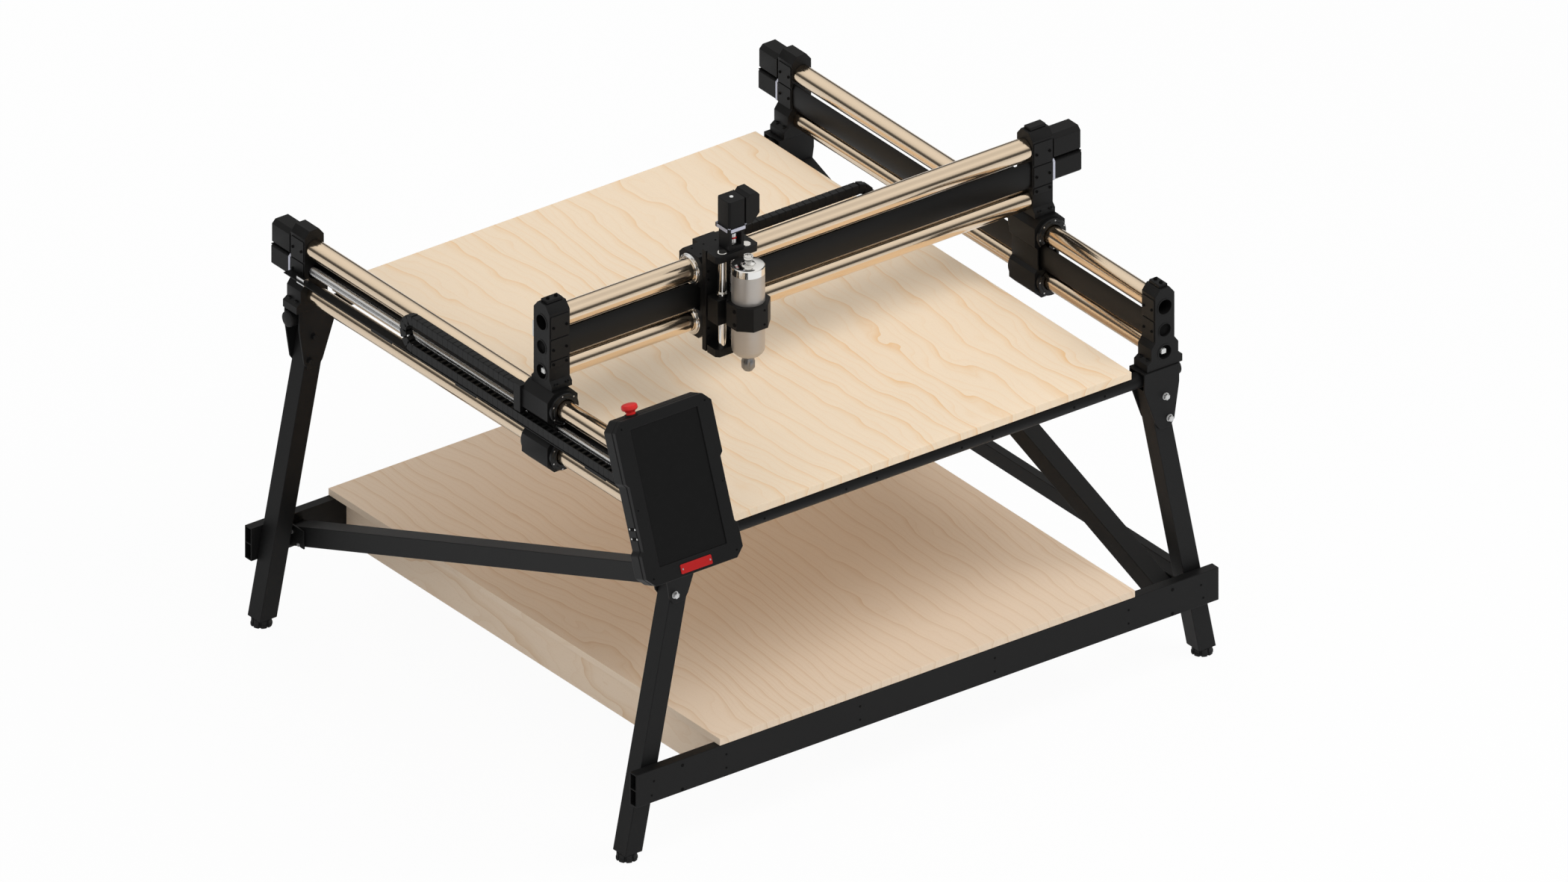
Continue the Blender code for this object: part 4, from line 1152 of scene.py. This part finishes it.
def stop_button(tilt):
    """A red mushroom on a ribbed stem."""
    lean = Matrix.Rotation(-tilt, 4, "X")
    base = middle_of("estop_button") - lean @ Vector((0, 0, 1)) * 0.0095
    home = Matrix.Translation(base) @ lean
    part = turned_by(turned("Z", (0.0, 0.0), BUTTON, 48), home)
    piece("estop_button_finished", [part], "red_button", "estop", ("estop_button",), sharp=40.0)
    collar = turned_by(turned("Z", (0.0, 0.0), COLLAR, closed=True), home)
    piece("estop_collar", [collar], "case_black", "frame")


# Stage.

AIM_RIGHT, AIM_UP, CAMERA_AWAY = 0.12302, 0.46397, 9.0
CAMERA_REACH = 60.0
LAMP_TARGET = Vector((0.0, 0.0, 0.8))
FLOOR_REACH = 40.0
FLOOR_TO_CAMERA, FLOOR_TO_REFLECTIONS = 0.955, 0.42
# Height in the reflected room, from straight down to straight up, and its brightness there.
REFLECTED = ((0.0, 0.42), (0.46, 0.40), (0.52, 0.05), (0.64, 0.10), (0.73, 0.70), (0.86, 0.92), (1.0, 0.5))
# Name, power, place and size.
LAMPS = (
    ("key", 118.0, (1.6, -2.6, 4.6), 2.6),
    ("fill", 34.0, (-4.2, -2.4, 2.6), 2.8),
    ("back", 48.0, (1.0, 4.4, 3.6), 2.6),
)


def added(name, data):
    obj = bpy.data.objects.new(name, data)
    bpy.context.scene.collection.objects.link(obj)
    return obj


def camera(settings):
    """A parallel view from the front left, above."""
    data = bpy.data.cameras.new("camera")
    data.type = "ORTHO"
    data.ortho_scale = settings.view_width
    data.clip_end = CAMERA_REACH
    obj = added("camera", data)
    turn, rise = settings.azimuth, settings.elevation
    right = Vector((math.cos(turn), -math.sin(turn), 0))
    away = Vector((-math.sin(turn) * math.cos(rise), -math.cos(turn) * math.cos(rise), math.sin(rise)))
    up = away.cross(right)
    place = Vector((BED.x, BED.y, 0.0)) + right * AIM_RIGHT + up * AIM_UP + away * CAMERA_AWAY
    obj.matrix_world = Matrix((*zip(right, up, away, place), (0, 0, 0, 1)))
    bpy.context.scene.camera = obj


def lamp(name, energy, place, size):
    """A soft lamp that lights the object and leaves its reflections to the surroundings."""
    data = bpy.data.lights.new(name, "AREA")
    data.energy = energy
    data.size = size
    obj = added(name, data)
    obj.location = place
    obj.visible_glossy = False
    obj.rotation_euler = (LAMP_TARGET - Vector(place)).to_track_quat("-Z", "Y").to_euler()


def floor(colour):
    """A pale floor that keeps a soft shadow and otherwise shows white."""
    mesh = bpy.data.meshes.new("floor")
    reach = np.array([[-FLOOR_REACH, FLOOR_REACH]])
    vertices, faces = grid(spread("Z", np.zeros((1, 2)), reach.T, reach))
    mesh.from_pydata(vertices.tolist(), [], faces)
    obj = added("floor", mesh)
    recipe = Recipe("floor", 0.0)
    recipe.done(Base_Color=shade(colour, 0.82), Roughness=1.0)
    glow = recipe.make("ShaderNodeEmission", inputs={"Color": colour, "Strength": 1.0})
    share = recipe.rays("Camera") * FLOOR_TO_CAMERA + recipe.rays("Glossy") * FLOOR_TO_REFLECTIONS
    both = recipe.mixed(share, Signal(recipe.tree, recipe.shader.outputs[0]), glow)
    join(recipe.tree, recipe.tree.nodes["Material Output"].inputs[0], both)
    mesh.materials.append(recipe.material)


def surroundings(colour):
    """White to the camera. Reflections see a bright ceiling, a grey floor and a dark wall between."""
    world = bpy.data.worlds.new("studio")
    bpy.context.scene.world = world
    world.use_nodes = True
    world.node_tree.nodes.clear()
    nodes = Nodes(world.node_tree)
    height = nodes.parts(nodes.make("ShaderNodeTexCoord", output="Generated"))[2]
    ramp = world.node_tree.nodes.new("ShaderNodeValToRGB")
    while len(ramp.color_ramp.elements) < len(REFLECTED):
        ramp.color_ramp.elements.new(0.5)
    for element, (place, value) in zip(ramp.color_ramp.elements, REFLECTED):
        element.position = place
        element.color = (value, value * 0.985, value * 0.96, 1.0)
    join(world.node_tree, ramp.inputs[0], height * 0.5 + 0.5)

    def light(tone, strength):
        return nodes.make("ShaderNodeBackground", inputs={"Color": tone, "Strength": strength})

    soft, gloss = light((0.98, 0.99, 1.0), 0.56), light(Signal(world.node_tree, ramp.outputs[0]), 1.05)
    lit = nodes.mixed(nodes.rays("Glossy"), soft, gloss)
    seen = nodes.mixed(nodes.rays("Camera"), lit, light(colour, 1.0))
    output = world.node_tree.nodes.new("ShaderNodeOutputWorld")
    join(world.node_tree, output.inputs[0], seen)


# Operators.


class ROUTER_OT_stage(bpy.types.Operator):
    """Adds the camera, the lamps and the floor"""

    bl_idname = "router.stage"
    bl_label = "Stage"

    def execute(self, context):
        settings = context.scene.router_stage
        context.scene.view_settings.view_transform = "Standard"
        camera(settings)
        surroundings(settings.backdrop)
        floor(settings.backdrop)
        for values in LAMPS:
            lamp(*values)
        return {"FINISHED"}


class ROUTER_OT_stand(bpy.types.Operator):
    """Finishes the legs, braces, beams, brackets and their fastenings"""

    bl_idname = "router.stand"
    bl_label = "Stand"

    def execute(self, context):
        settings = context.scene.router_stand
        steel = [node for node, slot in SLOT_OF.items() if slot == "black_steel"]
        for node in sorted(set(steel) - {"y_chain_tray", "controller_arm"}):
            machined(node, "coated_steel", settings.edge)
        leg_bolts(settings.bolt_across)
        beam_screws()
        tube_holes()
        levelling_knobs()
        brace_brackets()
        return {"FINISHED"}


class ROUTER_OT_boards(bpy.types.Operator):
    """Finishes the bed board, the shelf and its joists"""

    bl_idname = "router.boards"
    bl_label = "Boards"

    def execute(self, context):
        machined("spoilboard", "bed_board", 0.0008)
        for node in ("storage_shelf", "shelf_joist_left", "shelf_joist_right"):
            machined(node, "shelf_board", 0.0008)
        return {"FINISHED"}


class ROUTER_OT_rails(bpy.types.Operator):
    """Finishes the tubes, screws, panels, rail feet and motors"""

    bl_idname = "router.rails"
    bl_label = "Rails"

    def execute(self, context):
        settings = context.scene.router_rail
        tubes(settings.facets)
        screws(settings.lead, settings.groove)
        panels()
        rail_feet()
        motors()
        return {"FINISHED"}


class ROUTER_OT_gantry(bpy.types.Operator):
    """Finishes the carriages, the gantry sides and their seals and switches"""

    bl_idname = "router.gantry"
    bl_label = "Gantry"

    def execute(self, context):
        carriages()
        gantry_sides()
        limit_switch()
        return {"FINISHED"}


class ROUTER_OT_spindle(bpy.types.Operator):
    """Finishes the vertical slide, its motor and the spindle"""

    bl_idname = "router.spindle"
    bl_label = "Spindle"

    def execute(self, context):
        vertical_slide()
        spindle_clamp()
        spindle()
        lift_motor()
        return {"FINISHED"}


class ROUTER_OT_chains(bpy.types.Operator):
    """Builds both cable chains link by link, and their trays"""

    bl_idname = "router.chains"
    bl_label = "Chains"

    def execute(self, context):
        pitch = context.scene.router_chain.pitch
        side_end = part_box("y_carriage_left")[1].y + 0.0003
        cross_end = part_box("x_carriage")[1].x + 0.0005
        chain("side_chain", "y_drag_chain", pitch, "Y", "frame", "gantry", side_end)
        chain("cross_chain", "x_drag_chain", pitch, "X", "gantry", "cross_carriage", cross_end)
        machined("y_chain_tray", "coated_steel", 0.0005)
        gantry_tray()
        return {"FINISHED"}


class ROUTER_OT_controller(bpy.types.Operator):
    """Builds the controller's case, screen, ports and stop button"""

    bl_idname = "router.controller"
    bl_label = "Controller"

    def execute(self, context):
        settings = context.scene.router_controller
        controller(settings.screen_width, settings.screen_height, settings.tilt)
        stop_button(settings.tilt)
        return {"FINISHED"}


OPERATORS = (ROUTER_OT_stage, ROUTER_OT_stand, ROUTER_OT_boards, ROUTER_OT_rails, ROUTER_OT_gantry,
             ROUTER_OT_spindle, ROUTER_OT_chains, ROUTER_OT_controller)
SETTINGS = {
    "router_stage": StageSettings, "router_stand": StandSettings, "router_board": BoardSettings,
    "router_rail": RailSettings, "router_chain": ChainSettings, "router_spindle": SpindleSettings,
    "router_controller": ControllerSettings,
}


class ROUTER_PT_panel(bpy.types.Panel):
    """Lists the router's steps"""

    bl_label = "Gantry router"
    bl_idname = "ROUTER_PT_panel"
    bl_space_type = "VIEW_3D"
    bl_region_type = "UI"
    bl_category = "Router"

    def draw(self, context):
        for operator in OPERATORS:
            self.layout.operator(operator.bl_idname)


def register():
    for name, group in SETTINGS.items():
        bpy.utils.register_class(group)
        setattr(bpy.types.Scene, name, bpy.props.PointerProperty(type=group))
    for kind in (*OPERATORS, ROUTER_PT_panel):
        bpy.utils.register_class(kind)


def unregister():
    for kind in (ROUTER_PT_panel, *reversed(OPERATORS)):
        bpy.utils.unregister_class(kind)
    for name, group in reversed(SETTINGS.items()):
        delattr(bpy.types.Scene, name)
        bpy.utils.unregister_class(group)


def main():
    register()
    for operator in OPERATORS:
        family, name = operator.bl_idname.split(".")
        getattr(getattr(bpy.ops, family), name)()


if __name__ == "__main__":
    main()
